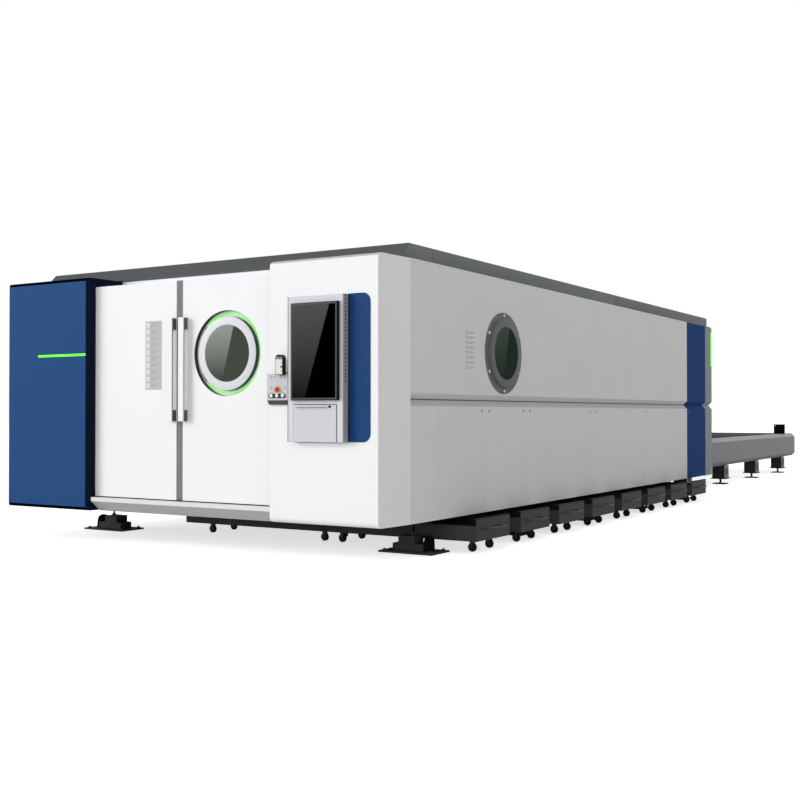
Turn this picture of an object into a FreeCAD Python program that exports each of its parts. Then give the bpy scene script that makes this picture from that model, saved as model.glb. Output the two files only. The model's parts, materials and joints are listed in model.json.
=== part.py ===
import FreeCAD, Part
import math
import os
import re
import Sketcher

# Enclosed fibre laser sheet cutting machine with a two-level exchange table.
# Millimetres. +X is the operator's right, +Y runs from the doors to the table, +Z is up.
# The origin is on the floor, midway between the middle pair of bed feet.
# Every y below is written as a distance behind the front plane of the housings,
# and place() moves it into the frame. The sizes named in FROM_RIGHT_SIDE are written
# as distances from the right wall's face, and follow() turns them into x.

SIZES = {
    # cabin
    "origin_to_front": 4305,
    "cabin_half": 2030,
    "wall": 40,
    "cabin_bottom": 290,
    "cabin_top": 2300,
    "panel_gap": 4,
    "seam_front": 843,
    "seam_lower": 1640,
    "seam_window": 2461,
    "seam_second": 4070,
    "seam_third": 5700,
    "seam_trim": 7310,
    "trim_back": 8130,
    # folded waist groove along both sides
    "belt_low": 1182,
    "belt_middle": 1236,
    "belt_high": 1281,
    "belt_deep": 50,
    "belt_lip": 30,
    "belt_blend": 60,
    "rear_inset": 18,
    # front housings
    "housing_deep": 405,
    "housing_sheet": 30,
    "cabinet_edge": 980,
    "cabinet_bottom": 285,
    "cabinet_top": 2305,
    "cabinet_chamfer": 30,
    "cheek_deep": 80,
    "column_edge": 1007,
    "column_top": 2298,
    "column_round": 45,
    # doors
    "door_front": 87,
    "door_thick": 50,
    "door_bottom": 405,
    "door_top": 2225,
    "door_meet_gap": 1,
    "door_side_gap": 1,
    "edge_wide": 35,
    "edge_recess": 10,
    "handle_near": 36,
    "handle_wide": 52,
    "handle_low": 1061,
    "handle_high": 1911,
    "handle_front": 30,
    "handle_bar": 18,
    "handle_end": 92,
    "handle_round": 4,
    # header and sill
    "run_gap": 0.3,
    "track_tall": 40,
    "header_thick": 40,
    "sill_front": 35,
    "sill_top": 402,
    "sill_band": 367,
    "sill_slope_back": 135,
    "sill_bottom": 280,
    "sill_back": 200,
    # round window in the right door
    "port_x": 505,
    "port_z": 1608,
    "pane_radius": 250,
    "groove_outer": 345,
    "groove_deep": 39,
    "bezel_outer": 299,
    "bezel_inner": 215,
    "bezel_proud": 2,
    "mouth_radius": 229.3,
    "mouth_deep": 9,
    "ring_inner": 317,
    "ring_outer": 325,
    "ring_proud": 11,
    "glass_thick": 8,
    # round window in the right side
    "side_port_y": 1981,
    "side_port_z": 1650,
    "flange_outer": 355,
    "flange_thick": 8,
    "side_ring_outer": 301,
    "side_ring_inner": 216,
    "side_ring_proud": 32,
    "side_mouth": 231.3,
    # roof
    "roof_brim": 10,
    "roof_top": 2432,
    "roof_inset": 70,
    "roof_brim_inset": 20,
    "roof_front": 380,
    "roof_slope": 120,
    "roof_seam_front": 858,
    "roof_seam_back": 4890,
    "roof_back": 8448,
    "roof_sheet": 20,
    # operator console
    "console_left": 799,
    "console_right": 293,
    "console_low": 911,
    "console_high": 2004,
    "console_proud": 66,
    "console_chamfer": 6,
    "tray_wall": 8,
    "tray_deep": 60,
    "screen_left": 751,
    "screen_right": 322,
    "screen_low": 1223,
    "screen_high": 1950,
    "screen_thick": 32,
    "screen_round": 5,
    "bezel_wide": 18,
    "screen_glass": 2,
    "vent_thick": 3,
    "vent_out": 36,
    "vent_hole": 15,
    "vent_pitch": 28.6,
    "vent_first": 14,
    "trim_right": 95,
    "trim_low": 915,
    "trim_high": 2008,
    "trim_thick": 4,
    "trim_round": 65,
    # keyboard flap
    "flap_left": 743,
    "flap_right": 349,
    "flap_tall": 274,
    "flap_thick": 18,
    "flap_proud": 6,
    "hinge_radius": 3,
    "hinge_long": 60,
    "hinge_inset": 40,
    "flap_side_gap": 2,
    "flap_top_gap": 5,
    "lip_left": 700,
    "lip_right": 440,
    "lip_tall": 14,
    "lip_proud": 14,
    "lip_drop": 10,
    "keyboard_thick": 18,
    "keyboard_margin": 28,
    "keyboard_tall": 170,
    "keyboard_rise": 40,
    "lock_x": 407,
    "lock_drop": 14,
    "lock_radius": 9,
    "lock_long": 16,
    "lock_sunk": 8,
    # control box beside the console
    "box_left": 1013,
    "box_low": 1193,
    "box_step": 1226,
    "box_high": 1428,
    "box_proud": 45,
    "box_foot": 20,
    "stop_x": 908,
    "stop_z": 1309,
    "collar_radius": 24,
    "collar_thick": 6,
    "stem_radius": 9,
    "stem_sunk": 4,
    "stop_radius": 19,
    "stop_cap": 12,
    "stop_gap": 5.5,
    "fit_gap": 0.3,
    "pocket_deep": 12,
    "pocket_wide": 26,
    "pill_x": 913,
    "pill_z": 1261,
    "pill_long": 164,
    "pill_tall": 38,
    "pill_thick": 4,
    "button_radius": 12,
    "button_pitch": 54,
    "button_proud": 6,
    "handset_left": 902,
    "handset_wide": 71,
    "handset_thick": 41,
    "handset_tall": 153,
    "handset_drop": 10,
    "bracket_wide": 35,
    "bracket_tall": 17,
    "handset_round": 20,
    # status lights
    "light_left": 1607,
    "light_low": 1625,
    "light_tall": 20,
    "light_thick": 3,
    "rear_light_low": 1777,
    "rear_light_tall": 455,
    "rear_light_wide": 40,
    "rear_light_inset": 12,
    # bed
    "beam_wide": 300,
    "bed_bottom": 300,
    "bed_top": 900,
    "bed_front": 880,
    "bed_back": 7730,
    "tube_wall": 20,
    "cross_wide": 150,
    "cross_tall": 88,
    "base_rail_wide": 60,
    "outrigger_long": 130,
    "foot_inset": 100,
    "plate_long": 500,
    "plate_wide": 300,
    "plate_thick": 15,
    "anchor_out": 200,
    "anchor_radius": 9,
    "block_long": 320,
    "block_top_long": 150,
    "block_wide": 140,
    "block_step": 70,
    "block_top": 148,
    "jack_radius": 10,
    # linear guides and pallet tracks
    "guide_wide": 45,
    "guide_tall": 40,
    "guide_inset": 60,
    "ledge_thick": 30,
    "ledge_wide": 200,
    "ledge_front": 900,
    # gantry, carriage and cutting head
    "gantry_y": 7470,
    "gantry_deep": 320,
    "gantry_low": 985,
    "gantry_inset": 40,
    "gantry_high": 1385,
    "gantry_chamfer": 70,
    "truck_wide": 120,
    "truck_long": 200,
    "truck_spread": 200,
    "slide_rail_wide": 30,
    "slide_rail_tall": 22,
    "slide_rail_low": 1060,
    "slide_rail_high": 1300,
    "carriage_x": 1250,
    "carriage_half": 160,
    "carriage_deep": 120,
    "carriage_low": 1010,
    "carriage_high": 1560,
    "head_slot": 64,
    "head_half": 55,
    "head_tip": 1120,
    "head_cone": 60,
    "head_body_low": 1240,
    "head_high": 1700,
    "neck_radius": 28,
    "tip_radius": 12,
    # pallets and slats
    "pallet_bar": 80,
    "pallet_clear": 110,
    "pallet_start": 600,
    "pallet_tall": 90,
    "pallet_long": 6300,
    "upper_level": 621,
    "level_step": 200,
    "lower_pallet_y": 1000,
    "slat_thick": 6,
    "slat_tall": 80,
    "slat_rise": 34,
    "slat_seat": 10,
    "slat_margin": 112,
    # rear frame
    "rear_back": 8500,
    "rear_bottom": 285,
    "rear_notch": 50,
    "pass_low": 385,
    "pass_high": 900,
    "rear_wall": 60,
    # exchange table
    "table_beam": 140,
    "table_wider": 60,
    "table_low": 300,
    "table_high": 735,
    "table_chamfer": 58,
    "table_past": 485,
    "leg_inset": 120,
    "leg_start": 530,
    "leg_end": 925,
    "leg_wide": 192,
    "leg_deep": 240,
    "leg_low": 85,
    "leg_window": 110,
    "leg_window_tall": 110,
    "leg_flange": 12,
    "leg_flange_over": 20,
    "pad_wide": 200,
    "pad_thick": 14,
    "screw_radius": 16,
    "table_box_wide": 190,
    "table_box_deep": 80,
    "table_box_tall": 180,
    "table_box_inset": 100,
    "table_box_end": 860,
    "table_box_round": 14,
    # scrap carts
    "cart_pitch": 825,
    "cart_wide": 604,
    "cart_reach": 180,
    "cart_split": 730,
    "cart_split_gap": 10,
    "cart_in": 865,
    "cart_low": 100,
    "cart_high": 225,
    "cart_sheet": 4,
    "cart_plate_high": 280,
    "cart_plate": 6,
    "cart_handle_z": 203,
    "cart_handle_bar": 16,
    "cart_handle_reach": 84,
    "cart_handle_start": 70,
    "cart_handle_end": 390,
    "link_long": 90,
    "link_wide": 40,
    "link_thick": 6,
    "caster_radius": 37.5,
    "caster_wheel": 26,
    "caster_fork": 44,
    "caster_near": 150,
    "caster_far": 454,
    "caster_outset": 110,
    "caster_inset": 90,
}

FOOT_ROWS = 5
CART_ROWS = 8
SLATS = 50
LEG_ROWS = 4
VENT_HOLES = 23
CROSS_TUBES = 4
ROUND_SIDES = 40
PANE_SIDES = 20
BUTTON_SIDES = 14
WHEEL_SIDES = 10
NOZZLE_SIDES = 8
PILL_SIDES = 12
SIDES = (("right", 1), ("left", -1))
FROM_RIGHT_SIDE = (
    "console_left",
    "console_right",
    "screen_left",
    "screen_right",
    "trim_right",
    "flap_left",
    "flap_right",
    "lip_left",
    "lip_right",
    "lock_x",
    "box_left",
    "stop_x",
    "pill_x",
    "handset_left",
)
FACING = {
    "up": FreeCAD.Rotation(FreeCAD.Vector(0, 0, 1), 0),
    "front": FreeCAD.Rotation(FreeCAD.Vector(1, 0, 0), 90),
    "back": FreeCAD.Rotation(FreeCAD.Vector(1, 0, 0), -90),
    "right": FreeCAD.Rotation(FreeCAD.Vector(0, 1, 0), 90),
}


def follow(sizes):
    """Adds the sizes that follow from the driving ones."""
    for name in FROM_RIGHT_SIDE:
        sizes[name] = sizes["cabin_half"] - sizes[name]
    sizes["rear_half"] = sizes["cabin_half"] - sizes["rear_inset"]
    sizes["roof_half"] = sizes["cabin_half"] - sizes["roof_inset"]
    sizes["roof_brim_half"] = sizes["cabin_half"] - sizes["roof_brim_inset"]
    sizes["cart_out"] = sizes["cabin_half"] + sizes["cart_reach"]
    wall_inside = sizes["cabin_half"] - sizes["wall"]
    sizes["bed_half"] = wall_inside - sizes["base_rail_wide"] - sizes["outrigger_long"]
    sizes["guide_x"] = sizes["bed_half"] - sizes["beam_wide"] / 2
    sizes["foot_x"] = sizes["bed_half"] - sizes["foot_inset"]
    sizes["foot_pitch"] = 2 * sizes["cart_pitch"]
    sizes["gantry_half"] = sizes["bed_half"] - sizes["gantry_inset"]
    sizes["pass_half"] = sizes["bed_half"] - sizes["beam_wide"]
    sizes["ledge_inner"] = sizes["pass_half"] - sizes["ledge_wide"]
    sizes["pallet_half"] = sizes["pass_half"] - sizes["pallet_clear"]
    sizes["upper_pallet_y"] = sizes["rear_back"] + sizes["pallet_start"]
    sizes["table_back"] = sizes["upper_pallet_y"] + sizes["pallet_long"] + sizes["table_past"]
    sizes["slat_pitch"] = (sizes["pallet_long"] - 2 * sizes["slat_margin"]) / (SLATS - 1)
    sizes["table_half"] = sizes["pass_half"] + sizes["table_wider"]
    sizes["leg_x"] = sizes["table_half"] - sizes["leg_inset"]
    sizes["leg_first"] = sizes["rear_back"] + sizes["leg_start"]
    last_leg = sizes["table_back"] - sizes["leg_end"]
    sizes["leg_pitch"] = (last_leg - sizes["leg_first"]) / (LEG_ROWS - 1)
    sizes["table_box_x"] = sizes["table_half"] - sizes["table_box_inset"]
    sizes["table_box_y"] = sizes["table_back"] - sizes["table_box_end"]


follow(SIZES)
doc = FreeCAD.newDocument("laser_cutting_machine")
sheet = doc.addObject("Spreadsheet::Sheet", "Sizes")
for line, (alias, value) in enumerate(SIZES.items(), start=1):
    sheet.set(f"A{line}", alias.replace("_", " "))
    sheet.set(f"B{line}", str(value))
    sheet.setAlias(f"B{line}", alias)
doc.recompute()

nodes = {}


# --------------------------------------------------------------- helpers


def size(alias):
    """Number held by a cell of the sheet."""
    return float(sheet.get(alias))


def bound(expression):
    """Expression in which every size name points at the sheet."""

    def cell(match):
        word = match.group()
        return "Sizes." + word if word in SIZES else word

    return re.sub(r"[a-z][a-z_0-9]*", cell, expression)


def place(piece, x, y, z):
    """Puts a piece at x, at y behind the front plane and at z, all bound to the sheet."""
    piece.setExpression(".Placement.Base.x", bound(x))
    piece.setExpression(".Placement.Base.y", bound(f"({y}) - origin_to_front"))
    piece.setExpression(".Placement.Base.z", bound(z))
    return piece


def across(low, high, sign):
    """Span in x on the right side, or its mirror image on the left."""
    return (low, high) if sign > 0 else (f"-({high})", f"-({low})")


def around(middle, wide):
    """Span of a given width centred on a value."""
    return (f"({middle}) - ({wide}) / 2", f"({middle}) + ({wide}) / 2")


def box(name, x, y, z):
    """Box between two values of x, of y and of z."""
    piece = doc.addObject("Part::Box", name)
    for side, (low, high) in (("Length", x), ("Width", y), ("Height", z)):
        piece.setExpression(side, bound(f"({high}) - ({low})"))
    return place(piece, x[0], y[0], z[0])


def rod(name, radius, length, facing, x, y, z):
    """Cylinder that starts at a point and runs the way it faces."""
    piece = doc.addObject("Part::Cylinder", name)
    piece.setExpression("Radius", bound(radius))
    piece.setExpression("Height", bound(length))
    piece.Placement = FreeCAD.Placement(FreeCAD.Vector(), FACING[facing])
    return place(piece, x, y, z)


def prism(name, sides, radius, length, facing, x, y, z):
    """Many-sided bar."""
    piece = doc.addObject("Part::Prism", name)
    piece.Polygon = sides
    piece.setExpression("Circumradius", bound(radius))
    piece.setExpression("Height", bound(length))
    piece.Placement = FreeCAD.Placement(FreeCAD.Vector(), FACING[facing])
    return place(piece, x, y, z)


def outline(body, role, points):
    """Closed polygon on an origin plane of a body, each corner bound to the sheet."""
    plane = [p for p in body.Origin.OriginFeatures if p.Role == role][0]
    sketch = body.newObject("Sketcher::SketchObject", body.Name + "_outline")
    sketch.AttachmentSupport = [(plane, "")]
    sketch.MapMode = "FlatFace"
    count = len(points)
    corners = [
        FreeCAD.Vector(100 * math.cos(2 * math.pi * i / count), 100 * math.sin(2 * math.pi * i / count), 0)
        for i in range(count)
    ]
    for i in range(count):
        sketch.addGeometry(Part.LineSegment(corners[i], corners[(i + 1) % count]), False)
    for i in range(count):
        sketch.addConstraint(Sketcher.Constraint("Coincident", i, 2, (i + 1) % count, 1))
    for i, (across_text, up_text) in enumerate(points):
        for kind, start, text in (
            ("DistanceX", corners[i].x, across_text), ("DistanceY", corners[i].y, up_text)
        ):
            row = sketch.addConstraint(Sketcher.Constraint(kind, i, 1, start))
            sketch.setExpression(f"Constraints[{row}]", bound(text))
    return sketch


def extrusion(name, plane, points, low, high):
    """Polygon in the XZ plane run along y, in the YZ plane run along x or in XY run along z."""
    body = doc.addObject("PartDesign::Body", name)
    sketch = outline(body, plane + "_Plane", points)
    pad = body.newObject("PartDesign::Pad", name + "_pad")
    pad.Profile = sketch
    pad.setExpression("Length", bound(f"({high}) - ({low})"))
    if plane == "XZ":
        place(body, "0", high, "0")
    elif plane == "YZ":
        place(body, low, "0", "0")
    else:
        place(body, "0", "0", low)
    return body


def cut(name, base, tools):
    """Base with every tool taken out of it."""
    piece = doc.addObject("Part::Cut", name)
    piece.Base = base
    piece.Tool = tools[0] if len(tools) == 1 else group(name + "_tools", tools)
    return piece


def fuse(name, pieces):
    """One solid made of pieces that meet."""
    piece = doc.addObject("Part::MultiFuse", name)
    piece.Shapes = pieces
    piece.Refine = True
    return piece


def group(name, pieces):
    """Separate solids that share one node."""
    piece = doc.addObject("Part::Compound", name)
    piece.Links = pieces
    return piece


def eased(name, base, alias, wanted, kind="Part::Fillet"):
    """Base with the edges that pass a test rounded or chamfered by one size."""
    doc.recompute()
    piece = doc.addObject(kind, name)
    piece.Base = base
    amount = size(alias)
    picked = [i for i, edge in enumerate(base.Shape.Edges, start=1) if wanted(edge, base.Shape.BoundBox)]
    piece.Edges = [(i, amount, amount) for i in picked]
    return piece


def repeated(name, master, steps):
    """Copies of a piece, each moved by one step, as separate solids of one feature."""
    doc.recompute()
    piece = doc.addObject("Part::Feature", name)
    solids = []
    for step in steps:
        for solid in master.Shape.Solids:
            solids.append(solid.translated(step))
    piece.Shape = Part.Compound(solids) if len(solids) > 1 else solids[0]
    return piece


def node(piece):
    """Marks a finished sub-part, whose label names its file."""
    piece.Label = piece.Name
    nodes[piece.Label] = piece
    return piece


def at_low_y(edge, box_of):
    """True for an edge that lies in the front face."""
    return edge.BoundBox.YMax < box_of.YMin + 0.01


def level_at_low_y(edge, box_of):
    """True for a level edge of the front face."""
    return at_low_y(edge, box_of) and along(edge, "x")


def along(edge, axis):
    """True for a straight edge along one axis."""
    ends = edge.BoundBox
    spans = {"x": ends.XLength, "y": ends.YLength, "z": ends.ZLength}
    longest = max(spans, key=spans.get)
    return longest == axis and sum(spans.values()) - spans[axis] < 0.01


# --------------------------------------------------------------- bed and feet


def foot_row(row):
    """Distance of a row of feet behind the front plane."""
    return f"origin_to_front + ({row - FOOT_ROWS // 2}) * foot_pitch"


def bed_frame():
    """Two box beams, cross tubes, outriggers and the rails that the cabin stands on."""
    pieces = []
    wall_face = "(cabin_half - wall)"
    cross_z = ("bed_bottom", "bed_bottom + cross_tall")
    for side, sign in SIDES:
        beam = box(
            f"beam_{side}",
            across("bed_half - beam_wide", "bed_half", sign),
            ("bed_front", "bed_back"),
            ("bed_bottom", "bed_top"),
        )
        bore = box(
            f"beam_bore_{side}",
            across("bed_half - beam_wide + tube_wall", "bed_half - tube_wall", sign),
            ("bed_front - 1", "bed_back + 1"),
            ("bed_bottom + tube_wall", "bed_top - tube_wall"),
        )
        pieces.append(cut(f"bed_beam_{side}", beam, [bore]))
        base_x = across(f"{wall_face} - base_rail_wide", wall_face, sign)
        pieces.append(
            box(
                f"base_rail_{side}",
                base_x,
                ("housing_deep", "trim_back"),
                ("bed_bottom", "bed_bottom + base_rail_wide"),
            )
        )
        for row in range(FOOT_ROWS):
            rigger_x = across("bed_half", f"{wall_face} - base_rail_wide", sign)
            pieces.append(
                box(f"outrigger_{side}_{row}", rigger_x, around(foot_row(row), "cross_wide"), cross_z)
            )
    for row in range(FOOT_ROWS):
        span = ("beam_wide - bed_half", "bed_half - beam_wide")
        pieces.append(box(f"cross_tube_{row}", span, around(foot_row(row), "cross_wide"), cross_z))
    node(group("bed_frame", pieces))


def bed_feet():
    """Anchor plates with stepped blocks, one under each end of every cross tube."""
    half = "block_long / 2"
    top_half = "block_top_long / 2"
    block_points = [
        (f"foot_x - {half}", "plate_thick"),
        (f"foot_x + {half}", "plate_thick"),
        (f"foot_x + {half}", "block_step"),
        (f"foot_x + {top_half}", "block_top"),
        (f"foot_x - {top_half}", "block_top"),
        (f"foot_x - {half}", "block_step"),
    ]
    middle = "origin_to_front"
    plate = box(
        "foot_plate", around("foot_x", "plate_long"), around(middle, "plate_wide"), ("0", "plate_thick")
    )
    block = extrusion(
        "foot_block", "XZ", block_points, f"{middle} - block_wide / 2", f"{middle} + block_wide / 2"
    )
    foot = group("foot", [plate, block])
    last = FOOT_ROWS // 2
    plain_steps = [
        FreeCAD.Vector(shift, row * size("foot_pitch"), 0)
        for row in range(1 - last, last)
        for shift in (0, -2 * size("foot_x"))
    ]
    corners = []
    for side, sign in SIDES:
        for end, row in (("front", -last), ("back", last)):
            step = FreeCAD.Vector((sign - 1) * size("foot_x"), row * size("foot_pitch"), 0)
            blank = repeated(f"corner_plate_blank_{side}_{end}", plate, [step])
            hole_x = f"({sign}) * (foot_x + anchor_out)"
            hole_y = f"{middle} + ({row}) * foot_pitch"
            hole = rod(f"anchor_{side}_{end}", "anchor_radius", "plate_thick + 2", "up", hole_x, hole_y, "-1")
            corners.append(cut(f"corner_plate_{side}_{end}", blank, [hole]))
            corners.append(repeated(f"corner_block_{side}_{end}", block, [step]))
    node(group("bed_feet", corners + [repeated("plain_feet", foot, plain_steps)]))


def levelling_screws():
    """Jack rods between the feet and the bed, and screws on pads under the table's legs."""
    jack = prism(
        "jack_rod", 6, "jack_radius", "bed_bottom - block_top", "up", "foot_x", "origin_to_front", "block_top"
    )
    jack_steps = [
        FreeCAD.Vector(shift, (row - FOOT_ROWS // 2) * size("foot_pitch"), 0)
        for row in range(FOOT_ROWS)
        for shift in (0, -2 * size("foot_x"))
    ]
    pad = box("pad", around("leg_x", "pad_wide"), around("leg_first", "pad_wide"), ("0", "pad_thick"))
    screw_long = "leg_low - pad_thick"
    screw = prism("leg_screw", 6, "screw_radius", screw_long, "up", "leg_x", "leg_first", "pad_thick")
    leg_steps = [
        FreeCAD.Vector(shift, row * size("leg_pitch"), 0)
        for row in range(LEG_ROWS)
        for shift in (0, -2 * size("leg_x"))
    ]
    pieces = [
        repeated("jack_rods", jack, jack_steps),
        repeated("pads", pad, leg_steps),
        repeated("leg_screws", screw, leg_steps),
    ]
    node(group("levelling_screws", pieces))


def guide_rails():
    """Linear guides of the gantry and the ledges on which both pallets run."""
    pieces = []
    for side, sign in SIDES:
        guide_x = across("guide_x - guide_wide / 2", "guide_x + guide_wide / 2", sign)
        guide_y = ("bed_front + guide_inset", "bed_back - guide_inset")
        pieces.append(box(f"guide_{side}", guide_x, guide_y, ("bed_top", "bed_top + guide_tall")))
        for level in (0, 1):
            top = f"upper_level - {level} * level_step - run_gap"
            ledge_z = (f"{top} - ledge_thick", top)
            in_bed = across("ledge_inner", "bed_half - beam_wide", sign)
            in_table = across("ledge_inner", "table_half - table_beam", sign)
            pieces.append(box(f"bed_ledge_{side}_{level}", in_bed, ("ledge_front", "rear_back"), ledge_z))
            table_y = ("rear_back", "table_back - table_beam")
            pieces.append(box(f"table_ledge_{side}_{level}", in_table, table_y, ledge_z))
    node(group("guide_rails", pieces))


# --------------------------------------------------------------- cabin walls and roof


def wall_profile(sign, upper):
    """Section of a side wall above or below the waist groove."""
    face = "cabin_half"
    inner = "cabin_half - wall"
    valley = "cabin_half - belt_deep"
    lip = "cabin_half - belt_deep - belt_lip"
    if upper:
        points = [
            (face, "cabin_top"),
            (face, "belt_high"),
            (valley, "belt_middle"),
            (lip, "belt_middle"),
            (inner, "belt_high + belt_blend"),
            (inner, "cabin_top"),
        ]
    else:
        points = [
            (face, "cabin_bottom"),
            (face, "belt_low"),
            (valley, "belt_middle"),
            (lip, "belt_middle"),
            (inner, "belt_low - belt_blend"),
            (inner, "cabin_bottom"),
        ]
    return [(f"({sign}) * ({x})", z) for x, z in points]


def wall_sections(name, sign, upper, seams):
    """Panels of one wall between seams, a small gap apart."""
    pieces = []
    for i in range(len(seams) - 1):
        low = seams[i] if i == 0 else f"{seams[i]} + panel_gap / 2"
        high = f"{seams[i + 1]} - panel_gap / 2"
        pieces.append(extrusion(f"{name}_{i}", "XZ", wall_profile(sign, upper), low, high))
    return pieces


def side_walls():
    """White panels of both sides, the right one with the hole for its round window."""
    upper_seams = ["housing_deep", "seam_front", "seam_window", "seam_second", "seam_third", "seam_trim"]
    lower_seams = [
        "housing_deep", "seam_front", "seam_lower", "seam_window", "seam_second", "seam_third", "seam_trim"
    ]
    upper = wall_sections("upper_wall", 1, True, upper_seams)
    hole_start = ("cabin_half - 2 * wall", "side_port_y", "side_port_z")
    hole = prism("side_port_hole", PANE_SIDES, "pane_radius", "3 * wall", "right", *hole_start)
    upper[1] = cut("window_wall", upper[1], [hole])
    node(group("right_upper_panels", upper))
    node(group("right_lower_panels", wall_sections("lower_wall", 1, False, lower_seams)))
    left = wall_sections("left_upper_wall", -1, True, upper_seams)
    left += wall_sections("left_lower_wall", -1, False, upper_seams)
    node(group("left_side_panels", left))


def rear_trims():
    """Blue panels at the rear end of both sides, with the same section as the walls."""
    pieces = []
    for side, sign in SIDES:
        for level, upper in (("upper", True), ("lower", False)):
            low = "seam_trim + panel_gap / 2"
            name = f"rear_trim_{side}_{level}"
            pieces.append(extrusion(name, "XZ", wall_profile(sign, upper), low, "trim_back"))
    node(group("rear_trims", pieces))


def rear_frame():
    """Rear portal, notched at the waist, with the opening that the pallets pass through."""
    pieces = []
    post_points = [
        ("trim_back", "rear_bottom"),
        ("rear_back", "rear_bottom"),
        ("rear_back", "belt_low"),
        ("rear_back - rear_notch", "belt_middle"),
        ("rear_back", "belt_high"),
        ("rear_back", "cabin_top"),
        ("trim_back", "cabin_top"),
    ]
    groove_points = [
        ("rear_half + 1", "belt_low"),
        ("rear_half", "belt_low"),
        ("cabin_half - belt_deep", "belt_middle"),
        ("rear_half", "belt_high"),
        ("rear_half + 1", "belt_high"),
    ]
    for side, sign in SIDES:
        low, high = across("pass_half", "rear_half", sign)
        blank = extrusion(f"rear_post_blank_{side}", "YZ", post_points, low, high)
        signed = [(f"({sign}) * ({x})", z) for x, z in groove_points]
        groove = extrusion(f"rear_groove_{side}", "XZ", signed, "trim_back - 1", "rear_back + 1")
        pieces.append(cut(f"rear_post_{side}", blank, [groove]))
    span = ("-pass_half", "pass_half")
    middle = "(trim_back + rear_back) / 2"
    pieces.append(box("rear_lintel", span, around(middle, "rear_wall"), ("pass_high", "cabin_top")))
    pieces.append(box("rear_threshold", span, around(middle, "rear_wall"), ("rear_bottom", "pass_low")))
    node(group("rear_frame", pieces))


def roof_panels():
    """Three dark roof covers, the front one with a sloping nose."""
    points = [
        ("-roof_brim_half", "cabin_top"),
        ("roof_brim_half", "cabin_top"),
        ("roof_brim_half", "cabin_top + roof_brim"),
        ("roof_half", "cabin_top + roof_brim"),
        ("roof_half", "roof_top"),
        ("-roof_half", "roof_top"),
        ("-roof_half", "cabin_top + roof_brim"),
        ("-roof_brim_half", "cabin_top + roof_brim"),
    ]
    nose_points = [
        ("roof_front - 1", "cabin_top - 1"),
        ("housing_deep", "cabin_top - 1"),
        ("housing_deep", "cabin_top + roof_brim"),
        ("roof_front", "cabin_top + roof_brim"),
        ("roof_front + roof_slope", "roof_top"),
        ("roof_front + roof_slope", "roof_top + 1"),
        ("roof_front - 1", "roof_top + 1"),
    ]
    seams = ["roof_front", "roof_seam_front", "roof_seam_back", "roof_back"]
    pieces = []
    for i in range(3):
        low = seams[i] if i == 0 else f"{seams[i]} + panel_gap"
        high = seams[i + 1]
        cover = extrusion(f"roof_cover_{i}", "XZ", points, low, high)
        inside = f"{low} + roof_sheet" if i else "roof_front + roof_slope"
        hollow = box(
            f"roof_hollow_{i}",
            ("roof_sheet - roof_half", "roof_half - roof_sheet"),
            (inside, f"{high} - roof_sheet"),
            ("cabin_top - 1", "roof_top - roof_sheet"),
        )
        tools = [hollow]
        if i == 0:
            tools.append(
                extrusion("roof_nose_cut", "YZ", nose_points, "-roof_brim_half - 1", "roof_brim_half + 1")
            )
        pieces.append(cut(f"roof_section_{i}", cover, tools))
    node(group("roof_panels", pieces))


# --------------------------------------------------------------- front housings and doors


def left_cabinet():
    """Blue housing with a chamfered front, hollow so that the left door slides into it."""
    shell = box(
        "cabinet_block",
        ("-cabin_half", "-cabinet_edge"),
        ("0", "housing_deep"),
        ("cabinet_bottom", "cabinet_top"),
    )
    faced = eased("cabinet_faced", shell, "cabinet_chamfer", at_low_y, "Part::Chamfer")
    inside_z = ("cabinet_bottom + housing_sheet", "cabinet_top - housing_sheet")
    hollow = box(
        "cabinet_hollow",
        ("housing_sheet - cabin_half", "-cabinet_edge - housing_sheet"),
        ("housing_sheet", "housing_deep + 1"),
        inside_z,
    )
    mouth = box(
        "cabinet_mouth",
        ("-cabinet_edge - housing_sheet - 1", "1 - cabinet_edge"),
        ("cheek_deep", "housing_deep + 1"),
        ("cabinet_bottom + housing_sheet", "door_top + run_gap"),
    )
    node(cut("left_cabinet", faced, [hollow, mouth]))


def front_column():
    """White housing, rounded at its top and foot, hollow so that the right door slides behind it."""
    shell = box(
        "column_block",
        ("column_edge", "cabin_half"),
        ("0", "housing_deep"),
        ("cabin_bottom", "column_top"),
    )

    softened = eased("column_softened", shell, "column_round", level_at_low_y)
    hollow = box(
        "column_hollow",
        ("column_edge - 1", "cabin_half - wall"),
        ("housing_sheet", "housing_deep + 1"),
        ("cabin_bottom + housing_sheet", "column_top - housing_sheet + 2"),
    )
    console_hole = box(
        "console_hole",
        ("flap_left - tray_wall", "flap_right + tray_wall"),
        ("-1", "housing_sheet + 1"),
        ("console_low + tray_wall / 2 - tray_wall", f"{FLAP_TOP} + flap_top_gap + tray_wall"),
    )
    node(cut("front_column", softened, [hollow, console_hole]))


def door_header():
    """Angle over the doors: the ledge behind their tops guides them, the upright closes the wall."""
    track_front = "door_front + door_thick + run_gap"
    points = [
        (track_front, "door_top - track_tall"),
        ("housing_deep + header_thick", "door_top - track_tall"),
        ("housing_deep + header_thick", "cabin_top"),
        ("housing_deep", "cabin_top"),
        ("housing_deep", "door_top"),
        (track_front, "door_top"),
    ]
    node(extrusion("door_header", "YZ", points, "wall - cabin_half", "cabin_half - wall"))


def door_sill():
    """Sill under the doors with an upright band and a sloping underside."""
    points = [
        ("sill_front", "sill_top"),
        ("sill_front", "sill_band"),
        ("sill_slope_back", "sill_bottom"),
        ("sill_back", "sill_bottom"),
        ("sill_back", "sill_top"),
    ]
    node(extrusion("door_sill", "YZ", points, "-cabinet_edge", "column_edge"))


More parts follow.
